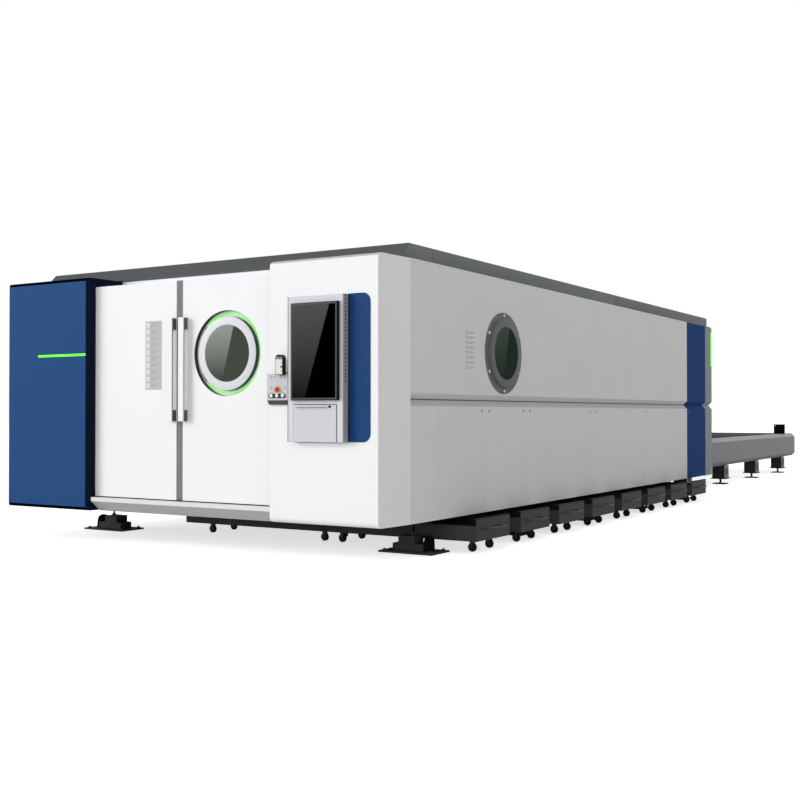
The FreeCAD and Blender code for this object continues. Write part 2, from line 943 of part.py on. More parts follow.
def door_handle(name, sign):
    """Tall flat pull: a bar held off the door by a block at each end."""
    span = across("handle_near", "handle_near + handle_wide", sign)
    block = box(name + "_block", span, ("handle_front", "door_front"), ("handle_low", "handle_high"))
    rounded = eased(name + "_rounded", block, "handle_round", at_low_y, "Part::Chamfer")
    gap = box(
        name + "_gap",
        (f"{span[0]} - 1", f"{span[1]} + 1"),
        ("handle_front + handle_bar", "door_front + 1"),
        ("handle_low + handle_end", "handle_high - handle_end"),
    )
    node(cut(name, rounded, [gap]))


def doors():
    """Two sliding doors with pulls and grey meeting edges, and the round window on the right."""
    height = ("door_bottom", "door_top")
    depth = ("door_front", "door_front + door_thick")
    edge_start = "door_meet_gap / 2"
    panel_start = "door_meet_gap / 2 + edge_wide"
    left_x = across(panel_start, "cabinet_edge - door_side_gap", -1)
    node(box("left_door", left_x, depth, height))
    right_x = across(panel_start, "column_edge - door_side_gap", 1)
    panel = box("right_door_panel", right_x, depth, height)
    groove_y = "door_front + groove_deep"
    hole = prism(
        "port_hole", ROUND_SIDES, "bezel_inner", "door_thick + 2", "back", "port_x", "door_front - 1", "port_z"
    )
    groove = prism(
        "port_groove", ROUND_SIDES, "groove_outer", "groove_deep + 1", "front", "port_x", groove_y, "port_z"
    )
    node(cut("right_door", cut("right_door_bored", panel, [hole]), [groove]))
    for side, sign in SIDES:
        edge_x = across(edge_start, panel_start, sign)
        edge_y = ("door_front + edge_recess", "door_front + door_thick")
        node(box(f"{side}_door_edge", edge_x, edge_y, height))
        door_handle(f"{side}_door_handle", sign)


def door_window():
    """Bezel, light ring and glass of the round window in the right door."""
    floor_y = "door_front + groove_deep"
    face_y = "door_front - bezel_proud"
    centre = ("port_x", floor_y, "port_z")
    whole = "groove_deep + bezel_proud"
    rim = prism("bezel_rim", ROUND_SIDES, "bezel_outer", whole, "front", *centre)
    bore = prism(
        "bezel_bore",
        ROUND_SIDES,
        "bezel_inner",
        f"{whole} + 2",
        "front",
        "port_x",
        f"{floor_y} + 1",
        "port_z",
    )
    mouth_start = ("port_x", f"{face_y} - 1", "port_z")
    mouth = prism("bezel_mouth", ROUND_SIDES, "mouth_radius", "mouth_deep + 1", "back", *mouth_start)
    node(cut("door_window_bezel", cut("bezel_bored", rim, [bore]), [mouth]))
    disc = prism("ring_disc", ROUND_SIDES, "ring_outer", "ring_proud", "front", *centre)
    core = prism(
        "ring_core",
        ROUND_SIDES,
        "ring_inner",
        "ring_proud + 2",
        "front",
        "port_x",
        f"{floor_y} + 1",
        "port_z",
    )
    node(cut("door_window_light", disc, [core]))
    glass_y = f"{face_y} + mouth_deep - glass_thick"
    glass_radius = "mouth_radius - fit_gap"
    node(
        prism(
            "door_window_glass",
            ROUND_SIDES,
            glass_radius,
            "glass_thick",
            "back",
            "port_x",
            glass_y,
            "port_z",
        )
    )


def side_window():
    """Flanged ring and glass of the round window in the right side."""
    centre = ("cabin_half", "side_port_y", "side_port_z")
    flange = prism("side_flange", ROUND_SIDES, "flange_outer", "flange_thick", "right", *centre)
    ring = prism("side_ring", ROUND_SIDES, "side_ring_outer", "side_ring_proud", "right", *centre)
    bore_start = ("cabin_half - 1", "side_port_y", "side_port_z")
    bore = prism("side_bore", ROUND_SIDES, "side_ring_inner", "side_ring_proud + 2", "right", *bore_start)
    rebate_start = ("cabin_half + side_ring_proud - mouth_deep", "side_port_y", "side_port_z")
    rebate = prism("side_rebate", ROUND_SIDES, "side_mouth", "mouth_deep + 1", "right", *rebate_start)
    bored = cut("side_ring_bored", fuse("side_ring_whole", [flange, ring]), [bore])
    node(cut("side_window_ring", bored, [rebate]))
    glass_radius = "side_mouth - fit_gap"
    node(prism("side_window_glass", ROUND_SIDES, glass_radius, "glass_thick", "right", *rebate_start))


def status_lights():
    """Green strip on the blue cabinet and upright strips at the rear corners."""
    strip = box(
        "cabinet_strip",
        ("-light_left", "-cabinet_edge - cabinet_chamfer"),
        ("-light_thick", "0"),
        ("light_low", "light_low + light_tall"),
    )
    pieces = [strip]
    for side, sign in SIDES:
        rear_y = ("rear_back - rear_light_inset - rear_light_wide", "rear_back - rear_light_inset")
        rear_x = across("rear_half", "rear_half + light_thick", sign)
        pieces.append(
            box(f"rear_strip_{side}", rear_x, rear_y, ("rear_light_low", "rear_light_low + rear_light_tall"))
        )
    node(group("status_lights", pieces))


# --------------------------------------------------------------- console


FLAP_LOW = "(console_low + tray_wall / 2 + run_gap)"
FLAP_TOP = f"({FLAP_LOW} + flap_tall)"
FLAP_FRONT = "(-console_proud - flap_proud)"


def console_frame():
    """Raised hollow housing of the console with the tray that the keyboard folds into."""
    face = box(
        "console_face",
        ("console_left", "console_right"),
        ("-console_proud", "0"),
        ("console_low", "console_high"),
    )
    chamfered = eased("console_chamfered", face, "console_chamfer", at_low_y, "Part::Chamfer")
    tray_z = ("console_low", f"{FLAP_TOP} + flap_top_gap + tray_wall")
    tray = box(
        "console_tray", ("flap_left - tray_wall", "flap_right + tray_wall"), ("0", "tray_deep"), tray_z
    )
    recess = box(
        "console_recess",
        ("flap_left", "flap_right"),
        ("-console_proud - 1", "tray_deep - tray_wall"),
        ("console_low + tray_wall / 2", f"{FLAP_TOP} + flap_top_gap"),
    )
    hollow = box(
        "console_hollow",
        ("console_left + tray_wall", "console_right - tray_wall"),
        ("tray_wall - console_proud", "1"),
        (f"{FLAP_TOP} + flap_top_gap + tray_wall", "console_high - tray_wall"),
    )
    whole = fuse("console_whole", [chamfered, tray])
    node(cut("console_frame", whole, [recess, hollow]))


def keyboard_flap():
    """Flap hinged along its lower edge, with a pull lip, the keyboard and a lock."""
    leaf_x = ("flap_left + flap_side_gap", "flap_right - flap_side_gap")
    leaf = box("flap_leaf", leaf_x, (FLAP_FRONT, f"{FLAP_FRONT} + flap_thick"), (FLAP_LOW, FLAP_TOP))
    lip_top = f"{FLAP_TOP} - lip_drop"
    lip_points = [
        (FLAP_FRONT, f"{lip_top} - 2 * lip_tall"),
        (FLAP_FRONT, lip_top),
        (f"{FLAP_FRONT} - lip_proud", lip_top),
        (f"{FLAP_FRONT} - lip_proud", f"{lip_top} - lip_tall / 2"),
    ]
    lip = extrusion("flap_lip", "YZ", lip_points, "lip_left", "lip_right")
    barrels = []
    for name, low in (("left", "flap_left + hinge_inset"), ("right", "flap_right - hinge_inset - hinge_long")):
        barrel_start = (low, FLAP_FRONT, FLAP_LOW)
        barrels.append(rod(f"flap_barrel_{name}", "hinge_radius", "hinge_long", "right", *barrel_start))
    whole = fuse("flap_whole", [leaf, lip] + barrels)
    lock_z = f"{FLAP_TOP} - lock_drop"
    lock_start = f"{FLAP_FRONT} + lock_sunk"
    bore_radius = "lock_radius + fit_gap"
    lock_bore = rod("lock_bore", bore_radius, "lock_long + 1", "front", "lock_x", lock_start, lock_z)
    node(cut("keyboard_flap", whole, [lock_bore]))
    keyboard_x = ("flap_left + keyboard_margin", "flap_right - keyboard_margin")
    keyboard_y = (f"{FLAP_FRONT} + flap_thick", f"{FLAP_FRONT} + flap_thick + keyboard_thick")
    keyboard_z = (f"{FLAP_LOW} + keyboard_rise", f"{FLAP_LOW} + keyboard_rise + keyboard_tall")
    node(box("keyboard", keyboard_x, keyboard_y, keyboard_z))
    node(rod("flap_lock", "lock_radius", "lock_long", "front", "lock_x", lock_start, lock_z))


def monitor():
    """Upright screen housing with its dark glass."""
    back = "-console_proud"
    front = "-console_proud - screen_thick"
    housing = box(
        "monitor_block", ("screen_left", "screen_right"), (front, back), ("screen_low", "screen_high")
    )
    node(eased("monitor", housing, "screen_round", at_low_y, "Part::Chamfer"))
    node(
        box(
            "monitor_glass",
            ("screen_left + bezel_wide", "screen_right - bezel_wide"),
            (f"{front} - screen_glass", front),
            ("screen_low + bezel_wide", "screen_high - bezel_wide"),
        )
    )


def console_trims():
    """Grey plate with a row of square holes on the console's right wall, and the blue panel beside it."""
    strip_right = "console_right + vent_thick"
    strip = box(
        "strip", ("console_right", strip_right), ("-console_proud", "0"), ("console_low", "console_high")
    )
    centre_z = "console_high - vent_first"
    window = box(
        "window",
        ("console_right - 1", f"{strip_right} + 1"),
        around("-vent_out", "vent_hole"),
        around(centre_z, "vent_hole"),
    )
    down = [FreeCAD.Vector(0, 0, -i * size("vent_pitch")) for i in range(VENT_HOLES)]
    node(cut("vent_strip", strip, [repeated("windows", window, down)]))
    panel = box("trim_block", (strip_right, "trim_right"), ("-trim_thick", "0"), ("trim_low", "trim_high"))

    def right_corner(edge, whole):
        return along(edge, "y") and edge.BoundBox.XMin > whole.XMax - 1

    node(eased("trim_panel", panel, "trim_round", right_corner))


def control_box():
    """Box with the emergency stop, three push buttons and a handset held in front of it."""
    front = "(-box_proud)"
    points = [
        ("0", "box_low"),
        ("-box_foot", "box_low"),
        (front, "box_step"),
        (front, "box_high"),
        ("0", "box_high"),
    ]
    housing = extrusion("box_housing", "YZ", points, "box_left", "console_left")
    pocket_y = (f"{front} - 1", f"{front} + pocket_deep")
    stop_pocket = box(
        "stop_pocket", around("stop_x", "pocket_wide"), pocket_y, around("stop_z", "pocket_wide")
    )
    row_long = "2 * button_pitch + pocket_wide"
    button_pocket = box(
        "button_pocket", around("pill_x", row_long), pocket_y, around("pill_z", "pocket_wide")
    )
    node(cut("control_box", housing, [stop_pocket, button_pocket]))
    plate_holes = []
    spots = [f"pill_x + ({i}) * button_pitch" for i in (-1, 0, 1)]
    for i, spot in enumerate(spots):
        bore_start = f"{front} + 1"
        bore_radius = "button_radius + fit_gap"
        plate_holes.append(
            prism(
                f"plate_hole_{i}",
                BUTTON_SIDES,
                bore_radius,
                "pill_thick + 2",
                "front",
                spot,
                bore_start,
                "pill_z",
            )
        )
    end_reach = "(pill_long - pill_tall) / 2"
    bar_x = around("pill_x", "pill_long - pill_tall")
    plate_parts = [box("pill_bar", bar_x, (f"{front} - pill_thick", front), around("pill_z", "pill_tall"))]
    for name, sign in (("left", "-"), ("right", "+")):
        end = (f"pill_x {sign} {end_reach}", front, "pill_z")
        plate_parts.append(
            prism(f"pill_end_{name}", PILL_SIDES, "pill_tall / 2", "pill_thick", "front", *end)
        )
    node(cut("button_plate", fuse("pill", plate_parts), plate_holes))
    for i, spot in enumerate(spots):
        base = f"{front} + stem_sunk"
        rise = "stem_sunk + pill_thick + button_proud"
        node(
            prism(f"push_button_{i + 1}", BUTTON_SIDES, "button_radius", rise, "front", spot, base, "pill_z")
        )
    collar = prism(
        "collar", BUTTON_SIDES, "collar_radius", "collar_thick", "front", "stop_x", front, "stop_z"
    )
    bore_start = f"{front} + 1"
    bore_radius = "stem_radius + fit_gap"
    bore = prism(
        "collar_bore", BUTTON_SIDES, bore_radius, "collar_thick + 2", "front", "stop_x", bore_start, "stop_z"
    )
    node(cut("stop_collar", collar, [bore]))
    stem_long = "stem_sunk + collar_thick + stop_gap"
    stem = prism(
        "stop_stem",
        BUTTON_SIDES,
        "stem_radius",
        stem_long,
        "front",
        "stop_x",
        f"{front} + stem_sunk",
        "stop_z",
    )
    cap_y = f"{front} - collar_thick - stop_gap"
    cap = prism("stop_cap", BUTTON_SIDES, "stop_radius", "stop_cap", "front", "stop_x", cap_y, "stop_z")
    node(fuse("stop_button", [stem, cap]))
    body = box(
        "handset_block",
        ("handset_left", "handset_left + handset_wide"),
        (f"{front} - handset_thick", front),
        ("box_high - handset_drop", "box_high - handset_drop + handset_tall"),
    )
    bracket = box(
        "handset_bracket",
        around("handset_left + handset_wide / 2", "bracket_wide"),
        (front, "0"),
        ("box_high", "box_high + bracket_tall"),
    )

    def top_corner(edge, whole):
        return along(edge, "y") and edge.BoundBox.ZMin > whole.ZMax - 1

    rounded = eased("handset_rounded", body, "handset_round", top_corner, "Part::Chamfer")
    node(fuse("handset", [rounded, bracket]))


# --------------------------------------------------------------- gantry


def gantry():
    """Cross beam on four trucks that straddle the linear guides."""
    front = "gantry_y - gantry_deep / 2"
    back = "gantry_y + gantry_deep / 2"
    points = [
        (front, "gantry_low"),
        (back, "gantry_low"),
        (back, "gantry_high - gantry_chamfer"),
        (f"{back} - gantry_chamfer", "gantry_high"),
        (front, "gantry_high"),
    ]
    pieces = [extrusion("gantry_girder", "YZ", points, "-gantry_half", "gantry_half")]
    for side, sign in SIDES:
        for end in (-1, 1):
            middle = f"gantry_y + ({end}) * truck_spread / 2"
            truck_x = across("guide_x - truck_wide / 2", "guide_x + truck_wide / 2", sign)
            slot_x = across("guide_x - guide_wide / 2 - run_gap", "guide_x + guide_wide / 2 + run_gap", sign)
            block = box(
                f"truck_block_{side}_{end + 1}",
                truck_x,
                around(middle, "truck_long - 20"),
                ("bed_top + run_gap * 10", "gantry_low"),
            )
            slot = box(
                f"truck_slot_{side}_{end + 1}",
                slot_x,
                around(middle, "truck_long + 2"),
                ("bed_top", "bed_top + guide_tall + run_gap"),
            )
            pieces.append(cut(f"truck_{side}_{end + 1}", block, [slot]))
    for level in ("slide_rail_low", "slide_rail_high"):
        rail_y = (f"{front} - slide_rail_tall", front)
        pieces.append(
            box(f"{level}_bar", ("-gantry_half", "gantry_half"), rail_y, around(level, "slide_rail_wide"))
        )
    node(group("gantry_beam", pieces))
    plate_back = f"{front} - run_gap"
    plate_front = f"{plate_back} - carriage_deep"
    plate = box(
        "carriage_block",
        around("carriage_x", "2 * carriage_half"),
        (plate_front, plate_back),
        ("carriage_low", "carriage_high"),
    )
    slots = [
        box(
            f"carriage_slot_{level}",
            around("carriage_x", "2 * carriage_half + 2"),
            (f"{front} - slide_rail_tall - run_gap", f"{front} + 1"),
            around(level, "slide_rail_wide + 2 * run_gap"),
        )
        for level in ("slide_rail_low", "slide_rail_high")
    ]
    head_way = box(
        "head_way",
        around("carriage_x", "2 * head_half + 2 * run_gap"),
        (f"{plate_front} - 1", f"{plate_front} + head_slot"),
        ("carriage_low - 1", "carriage_high + 1"),
    )
    node(cut("carriage", plate, slots + [head_way]))
    head_back = f"{plate_front} + head_slot - run_gap"
    head_y = (f"{head_back} - 2 * head_half", head_back)
    body = box("head_block", around("carriage_x", "2 * head_half"), head_y, ("head_body_low", "head_high"))
    spot = ("carriage_x", f"{head_back} - head_half")
    neck_long = "head_body_low - head_tip - head_cone"
    neck = prism("head_neck", NOZZLE_SIDES, "neck_radius", neck_long, "up", *spot, "head_tip + head_cone")
    tip = prism("head_nozzle", NOZZLE_SIDES, "tip_radius", "head_cone", "up", *spot, "head_tip")
    node(fuse("cutting_head", [body, neck, tip]))


# --------------------------------------------------------------- pallets and table


def pallet(level_name, start, low):
    """Welded pallet frame and its row of upright slats."""
    inner = "pallet_half - pallet_bar"
    height = (low, f"{low} + pallet_tall")
    length = (start, f"{start} + pallet_long")
    pieces = []
    for side, sign in SIDES:
        pieces.append(box(f"{level_name}_bar_{side}", across(inner, "pallet_half", sign), length, height))
    ends = (
        ("front", (start, f"{start} + pallet_bar")),
        ("back", (f"{start} + pallet_long - pallet_bar", f"{start} + pallet_long")),
    )
    for end, y in ends:
        pieces.append(box(f"{level_name}_bar_{end}", (f"-({inner})", inner), y, (low, f"{low} + slat_rise")))
    middle_y = (f"{start} + pallet_bar", f"{start} + pallet_long - pallet_bar")
    middle_bar = box(f"{level_name}_bar_middle", around("0", "pallet_bar"), middle_y, (low, f"{low} + slat_rise"))
    pieces.append(middle_bar)
    node(group(f"{level_name}_pallet", pieces))
    slat_z = (f"{low} + slat_rise + slat_seat", f"{low} + slat_rise + slat_seat + slat_tall")
    first = f"{start} + pallet_long / 2 - {(SLATS - 1) / 2} * slat_pitch"
    slat = box(f"{level_name}_slat", (f"-({inner})", inner), around(first, "slat_thick"), slat_z)
    back = [FreeCAD.Vector(0, i * size("slat_pitch"), 0) for i in range(SLATS)]
    node(repeated(f"{level_name}_slats", slat, back))


def table():
    """Exchange table: two chamfered beams, cross tubes, an end beam, legs and its own control box."""
    pieces = []
    for side, sign in SIDES:
        outer = "table_half"
        inner = "table_half - table_beam"
        points = [
            (inner, "table_low"),
            (f"{outer} - table_chamfer", "table_low"),
            (outer, "table_low + table_chamfer"),
            (outer, "table_high - table_chamfer"),
            (f"{outer} - table_chamfer", "table_high"),
            (inner, "table_high"),
        ]
        signed = [(f"({sign}) * ({x})", z) for x, z in points]
        pieces.append(extrusion(f"table_beam_{side}", "XZ", signed, "rear_back", "table_back"))
    span = ("table_beam - table_half", "table_half - table_beam")
    pieces.append(
        box("table_end", span, ("table_back - table_beam", "table_back"), ("table_low", "table_high"))
    )
    for row in range(CROSS_TUBES):
        middle = f"leg_first + {row} * leg_pitch"
        cross_z = ("table_low", "table_low + cross_tall")
        pieces.append(box(f"table_cross_{row}", span, around(middle, "cross_wide"), cross_z))
    node(group("table_frame", pieces))
    column = box(
        "leg_column",
        around("leg_x", "leg_wide"),
        around("leg_first", "leg_deep"),
        ("leg_low + leg_flange", "table_low"),
    )
    flange = box(
        "leg_foot",
        around("leg_x", "leg_wide + 2 * leg_flange_over"),
        around("leg_first", "leg_deep + 2 * leg_flange_over"),
        ("leg_low", "leg_low + leg_flange"),
    )
    middle_z = "(leg_low + leg_flange + table_low) / 2"
    window = box(
        "leg_window_cut",
        around("leg_x", "leg_wide + 2"),
        around("leg_first", "leg_window"),
        around(middle_z, "leg_window_tall"),
    )
    leg = cut("leg", fuse("leg_solid", [column, flange]), [window])
    steps = [
        FreeCAD.Vector(shift, row * size("leg_pitch"), 0)
        for row in range(LEG_ROWS)
        for shift in (0, -2 * size("leg_x"))
    ]
    node(repeated("table_legs", leg, steps))
    cabinet = box(
        "table_box",
        around("table_box_x", "table_box_wide"),
        around("table_box_y", "table_box_deep"),
        ("table_high", "table_high + table_box_tall"),
    )

    def upper_corner(edge, whole):
        return along(edge, "x") and edge.BoundBox.ZMin > whole.ZMax - 1

    node(eased("table_control_box", cabinet, "table_box_round", upper_corner, "Part::Chamfer"))


# --------------------------------------------------------------- scrap carts


def caster():
    """Fork block and wheel of one caster, on the middle line of the machine."""
    middle = "origin_to_front"
    fork_z = ("2 * caster_radius", "cart_low")
    fork = box("caster_fork_block", around("0", "caster_fork"), around(middle, "caster_wheel"), fork_z)
    corner = f"caster_radius / cos(180 / {WHEEL_SIDES})"
    wheel_y = f"{middle} + caster_wheel / 2"
    wheel = prism(
        "caster_wheel_bar", WHEEL_SIDES, corner, "caster_wheel", "front", "0", wheel_y, "caster_radius"
    )
    return group("caster_pieces", [fork, wheel])


def carts():
    """Eight rows of two coupled scrap trays on casters, each with a pull at its outer end."""
    start = f"origin_to_front - {CART_ROWS // 2} * cart_pitch + (cart_pitch - cart_wide) / 2"
    depth = (start, f"{start} + cart_wide")
    height = ("cart_low", "cart_high")
    inner_start = "-cart_in"
    spans = {"outer": ("cart_split", "cart_out"), "inner": (inner_start, "cart_split - cart_split_gap")}
    pieces = []
    for name, (low, high) in spans.items():
        block = box(f"tray_{name}_block", (low, high), depth, height)
        hollow = box(
            f"tray_{name}_hollow",
            (f"{low} + cart_sheet", f"{high} - cart_sheet"),
            (f"{depth[0]} + cart_sheet", f"{depth[1]} - cart_sheet"),
            ("cart_low + cart_sheet", "cart_high + 1"),
        )
        pieces.append(cut(f"tray_{name}", block, [hollow]))
    link_x = around("cart_split - cart_split_gap / 2", "link_long")
    middle = f"{start} + cart_wide / 2"
    pieces.append(
        box("tray_link", link_x, around(middle, "link_wide"), ("cart_low - link_thick", "cart_low"))
    )
    pieces.append(
        box("tray_plate", ("cart_out", "cart_out + cart_plate"), depth, ("cart_low", "cart_plate_high"))
    )
    face = "cart_out + cart_plate"
    bar_z = around("cart_handle_z", "cart_handle_bar")
    pull_y = (f"{start} + cart_handle_start", f"{start} + cart_handle_end")
    pull = box("pull_block", (face, f"{face} + cart_handle_reach"), pull_y, bar_z)
    pull_gap = box(
        "pull_gap",
        (f"{face} - 1", f"{face} + cart_handle_reach - cart_handle_bar"),
        (f"{pull_y[0]} + cart_handle_bar", f"{pull_y[1]} - cart_handle_bar"),
        ("cart_handle_z - cart_handle_bar", "cart_handle_z + cart_handle_bar"),
    )
    pieces.append(cut("tray_pull", pull, [pull_gap]))
    one = caster()
    row_start = -CART_ROWS / 2 * size("cart_pitch") + (size("cart_pitch") - size("cart_wide")) / 2
    columns = [
        size("cart_out") - size("caster_outset"),
        size("cart_split") + size("caster_inset"),
        size("cart_split") - size("cart_split_gap") - size("caster_inset"),
        -size("cart_in") + size("caster_inset") + size("caster_outset"),
    ]
    steps = [
        FreeCAD.Vector(x, row_start + y, 0)
        for x in columns
        for y in (size("caster_near"), size("caster_far"))
    ]
    pieces.append(repeated("casters", one, steps))
    master = group("cart", pieces)
    for row in range(CART_ROWS):
        node(repeated(f"cart_{row + 1}", master, [FreeCAD.Vector(0, row * size("cart_pitch"), 0)]))


# --------------------------------------------------------------- build and write


bed_frame()
bed_feet()
levelling_screws()
guide_rails()
side_walls()
rear_trims()
rear_frame()
roof_panels()
left_cabinet()
front_column()
door_header()
door_sill()
doors()
door_window()
side_window()
status_lights()
console_frame()
keyboard_flap()
monitor()
console_trims()
control_box()
gantry()
pallet("upper", "upper_pallet_y", "upper_level")
pallet("lower", "lower_pallet_y", "upper_level - level_step")
table()
carts()
doc.recompute()

for thing in doc.Objects:
    wrong = [state for state in thing.State if state in ("Invalid", "Error")]
    if wrong:
        raise RuntimeError(f"{thing.Name} is {wrong}")
for name, piece in nodes.items():
    if piece.Shape.isNull() or not piece.Shape.isValid() or not piece.Shape.Solids:
        raise RuntimeError(f"{name} has no valid solid")

os.makedirs("parts", exist_ok=True)
for name, piece in nodes.items():
    piece.Shape.exportStep(os.path.join("parts", name + ".step"))
print(len(nodes), "sub-parts written")
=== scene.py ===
"""Looks of the enclosed laser cutting machine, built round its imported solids.

Lengths are metres in the row frame. Distances behind the front plane of the housings,
called depths here, become y through the function back().
"""

import json
import logging
import math
from dataclasses import dataclass, field
from enum import Enum
from typing import Sequence

import bmesh
import bpy
from mathutils import Euler, Matrix, Vector

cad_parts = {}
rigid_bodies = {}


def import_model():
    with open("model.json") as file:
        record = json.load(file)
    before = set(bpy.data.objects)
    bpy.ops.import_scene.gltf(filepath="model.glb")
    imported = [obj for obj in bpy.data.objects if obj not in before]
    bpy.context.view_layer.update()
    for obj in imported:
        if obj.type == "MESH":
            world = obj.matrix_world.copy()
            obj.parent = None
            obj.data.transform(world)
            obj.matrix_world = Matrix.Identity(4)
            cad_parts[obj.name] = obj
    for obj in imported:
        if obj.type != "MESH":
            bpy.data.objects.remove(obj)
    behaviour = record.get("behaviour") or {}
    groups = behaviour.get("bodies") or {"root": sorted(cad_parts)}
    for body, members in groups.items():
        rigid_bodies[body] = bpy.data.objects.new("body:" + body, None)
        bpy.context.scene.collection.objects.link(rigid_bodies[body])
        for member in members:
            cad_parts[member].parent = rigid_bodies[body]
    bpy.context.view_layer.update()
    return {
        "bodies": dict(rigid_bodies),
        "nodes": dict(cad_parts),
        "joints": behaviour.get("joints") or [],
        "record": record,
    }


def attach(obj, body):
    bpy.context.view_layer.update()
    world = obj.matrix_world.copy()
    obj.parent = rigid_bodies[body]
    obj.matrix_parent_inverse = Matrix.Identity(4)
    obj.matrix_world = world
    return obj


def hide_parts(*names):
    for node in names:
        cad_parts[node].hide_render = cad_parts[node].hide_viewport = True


LOG = logging.getLogger("laser_machine")
FRONT_PLANE = 4.305
SMOOTH_ANGLE = math.radians(32)
WELD = 1e-5

Span = tuple[float, float]
Point = tuple[float, float]
Place = tuple[float, float, float]
Colour = tuple[float, float, float]


def back(depth: float) -> float:
    """Row frame y of a depth behind the front plane.

    Args:
        depth: Distance behind the front plane.

    Returns:
        The y of that depth.
    """
    return depth - FRONT_PLANE


def linear(colour: Colour) -> tuple[float, float, float, float]:
    """Linear colour with full alpha of a colour as a screen shows it.

    Args:
        colour: Red, green and blue from 0 to 1 as displayed.

    Returns:
        The four numbers that a shader socket takes.
    """
    parts = [c / 12.92 if c <= 0.04045 else ((c + 0.055) / 1.055) ** 2.4 for c in colour]
    return (parts[0], parts[1], parts[2], 1.0)


def around(middle: float, wide: float) -> Span:
    """Span of a width centred on a value."""
    return (middle - wide / 2, middle + wide / 2)


def circle(centre: Point, radius: float, sides: int = 96) -> list[Point]:
    """Corners of a round outline.

    Args:
        centre: Middle of the circle.
        radius: Its radius.
        sides: How many corners stand for it.

    Returns:
        The corners in order.
    """
    turn = 2 * math.pi / sides
    return [
        (centre[0] + radius * math.cos(i * turn), centre[1] + radius * math.sin(i * turn))
        for i in range(sides)
    ]


def rectangle(u: Span, v: Span) -> list[Point]:
    """Corners of a plain rectangle."""
    return [(u[0], v[0]), (u[1], v[0]), (u[1], v[1]), (u[0], v[1])]


def rounded(u: Span, v: Span, radii: Sequence[float], steps: int = 8) -> list[Point]:
    """Corners of a rectangle with rounded corners.

    Args:
        u: Span along the first direction.
        v: Span along the second direction.
        radii: Radius at low-low, high-low, high-high and low-high.
        steps: Straight steps in each rounded corner.

    Returns:
        The corners in order.
    """
    points: list[Point] = []
    corners = (
        (u[0], v[0], 1, 1, 180),
        (u[1], v[0], -1, 1, 270),
        (u[1], v[1], -1, -1, 0),
        (u[0], v[1], 1, -1, 90),
    )
    for (x, y, in_x, in_y, start), radius in zip(corners, radii):
        if radius <= 0:
            points.append((x, y))
            continue
        for i in range(steps + 1):
            angle = math.radians(start + 90 * i / steps)
            points.append(
                (x + in_x * radius + radius * math.cos(angle), y + in_y * radius + radius * math.sin(angle))
            )
    return points


class Facing(Enum):
    """Way that a plate faces or a turned form runs."""

    RIGHT = "right"
    REAR = "rear"
    UP = "up"

    def place(self, u: float, v: float, along: float) -> Vector:
        """Row frame point from two numbers across the facing and one along it.

        Args:
            u: x for REAR and UP, y for RIGHT.
            v: z for REAR and RIGHT, y for UP.
            along: Number along the facing.

        Returns:
            The point.
        """
        if self is Facing.RIGHT:
            return Vector((along, u, v))
        if self is Facing.REAR:
            return Vector((u, along, v))
        return Vector((u, v, along))


# ------------------------------------------------------------------ finishes


@dataclass(frozen=True)
class Finish:
    """Even coat of one colour with a little unevenness and a fine grain."""

    name: str
    colour: Colour
    roughness: float = 0.45
    metallic: float = 0.0
    coat: float = 0.0
    specular: float = 0.15
    unevenness: float = 0.03
    patch: float = 0.6
    grain: float = 0.15
    grain_size: float = 0.003

    def material(self) -> bpy.types.Material:
        """The material of this finish, made on its first use."""
        name = self.name + "_finish"
        found = bpy.data.materials.get(name)
        if found is not None:
            return found
        material = bpy.data.materials.new(name)
        material.use_nodes = True
        tree = material.node_tree
        shader = tree.nodes["Principled BSDF"]
        shader.inputs["Roughness"].default_value = self.roughness
        shader.inputs["Metallic"].default_value = self.metallic
        shader.inputs["Coat Weight"].default_value = self.coat
        shader.inputs["Specular IOR Level"].default_value = self.specular
        shader.inputs["Coat Roughness"].default_value = 0.12
        coords = tree.nodes.new("ShaderNodeTexCoord").outputs["Object"]
        tree.links.new(self.tone(tree, coords), shader.inputs["Base Color"])
        self.texture(tree, coords, shader)
        return material

    def tone(self, tree: bpy.types.NodeTree, coords: bpy.types.NodeSocket) -> bpy.types.NodeSocket:
        """Colour with slow patches a touch lighter and darker.

        Args:
            tree: Node tree of the material.
            coords: Object coordinates.

        Returns:
            The colour socket.
        """
        noise = tree.nodes.new("ShaderNodeTexNoise")
        noise.inputs["Scale"].default_value = 1 / self.patch
        noise.inputs["Detail"].default_value = 3
        tree.links.new(coords, noise.inputs["Vector"])
        mix = tree.nodes.new("ShaderNodeMix")
        mix.data_type = "RGBA"
        red, green, blue, alpha = linear(self.colour)
        low, high = 1 - self.unevenness, 1 + self.unevenness
        mix.inputs["A"].default_value = (red * low, green * low, blue * low, alpha)
        mix.inputs["B"].default_value = (red * high, green * high, blue * high, alpha)
        tree.links.new(noise.outputs["Fac"], mix.inputs["Factor"])
        return mix.outputs["Result"]

    def texture(
        self, tree: bpy.types.NodeTree, coords: bpy.types.NodeSocket, shader: bpy.types.ShaderNode
    ) -> None:
        """Fine bump of sprayed powder or moulded plastic.

        Args:
            tree: Node tree of the material.
            coords: Object coordinates.
            shader: The surface shader.
        """
        noise = tree.nodes.new("ShaderNodeTexNoise")
        noise.inputs["Scale"].default_value = 1 / self.grain_size
        noise.inputs["Detail"].default_value = 2
        tree.links.new(coords, noise.inputs["Vector"])
        bump = tree.nodes.new("ShaderNodeBump")
        bump.inputs["Strength"].default_value = self.grain
        bump.inputs["Distance"].default_value = 0.0004
        tree.links.new(noise.outputs["Fac"], bump.inputs["Height"])
        tree.links.new(bump.outputs["Normal"], shader.inputs["Normal"])


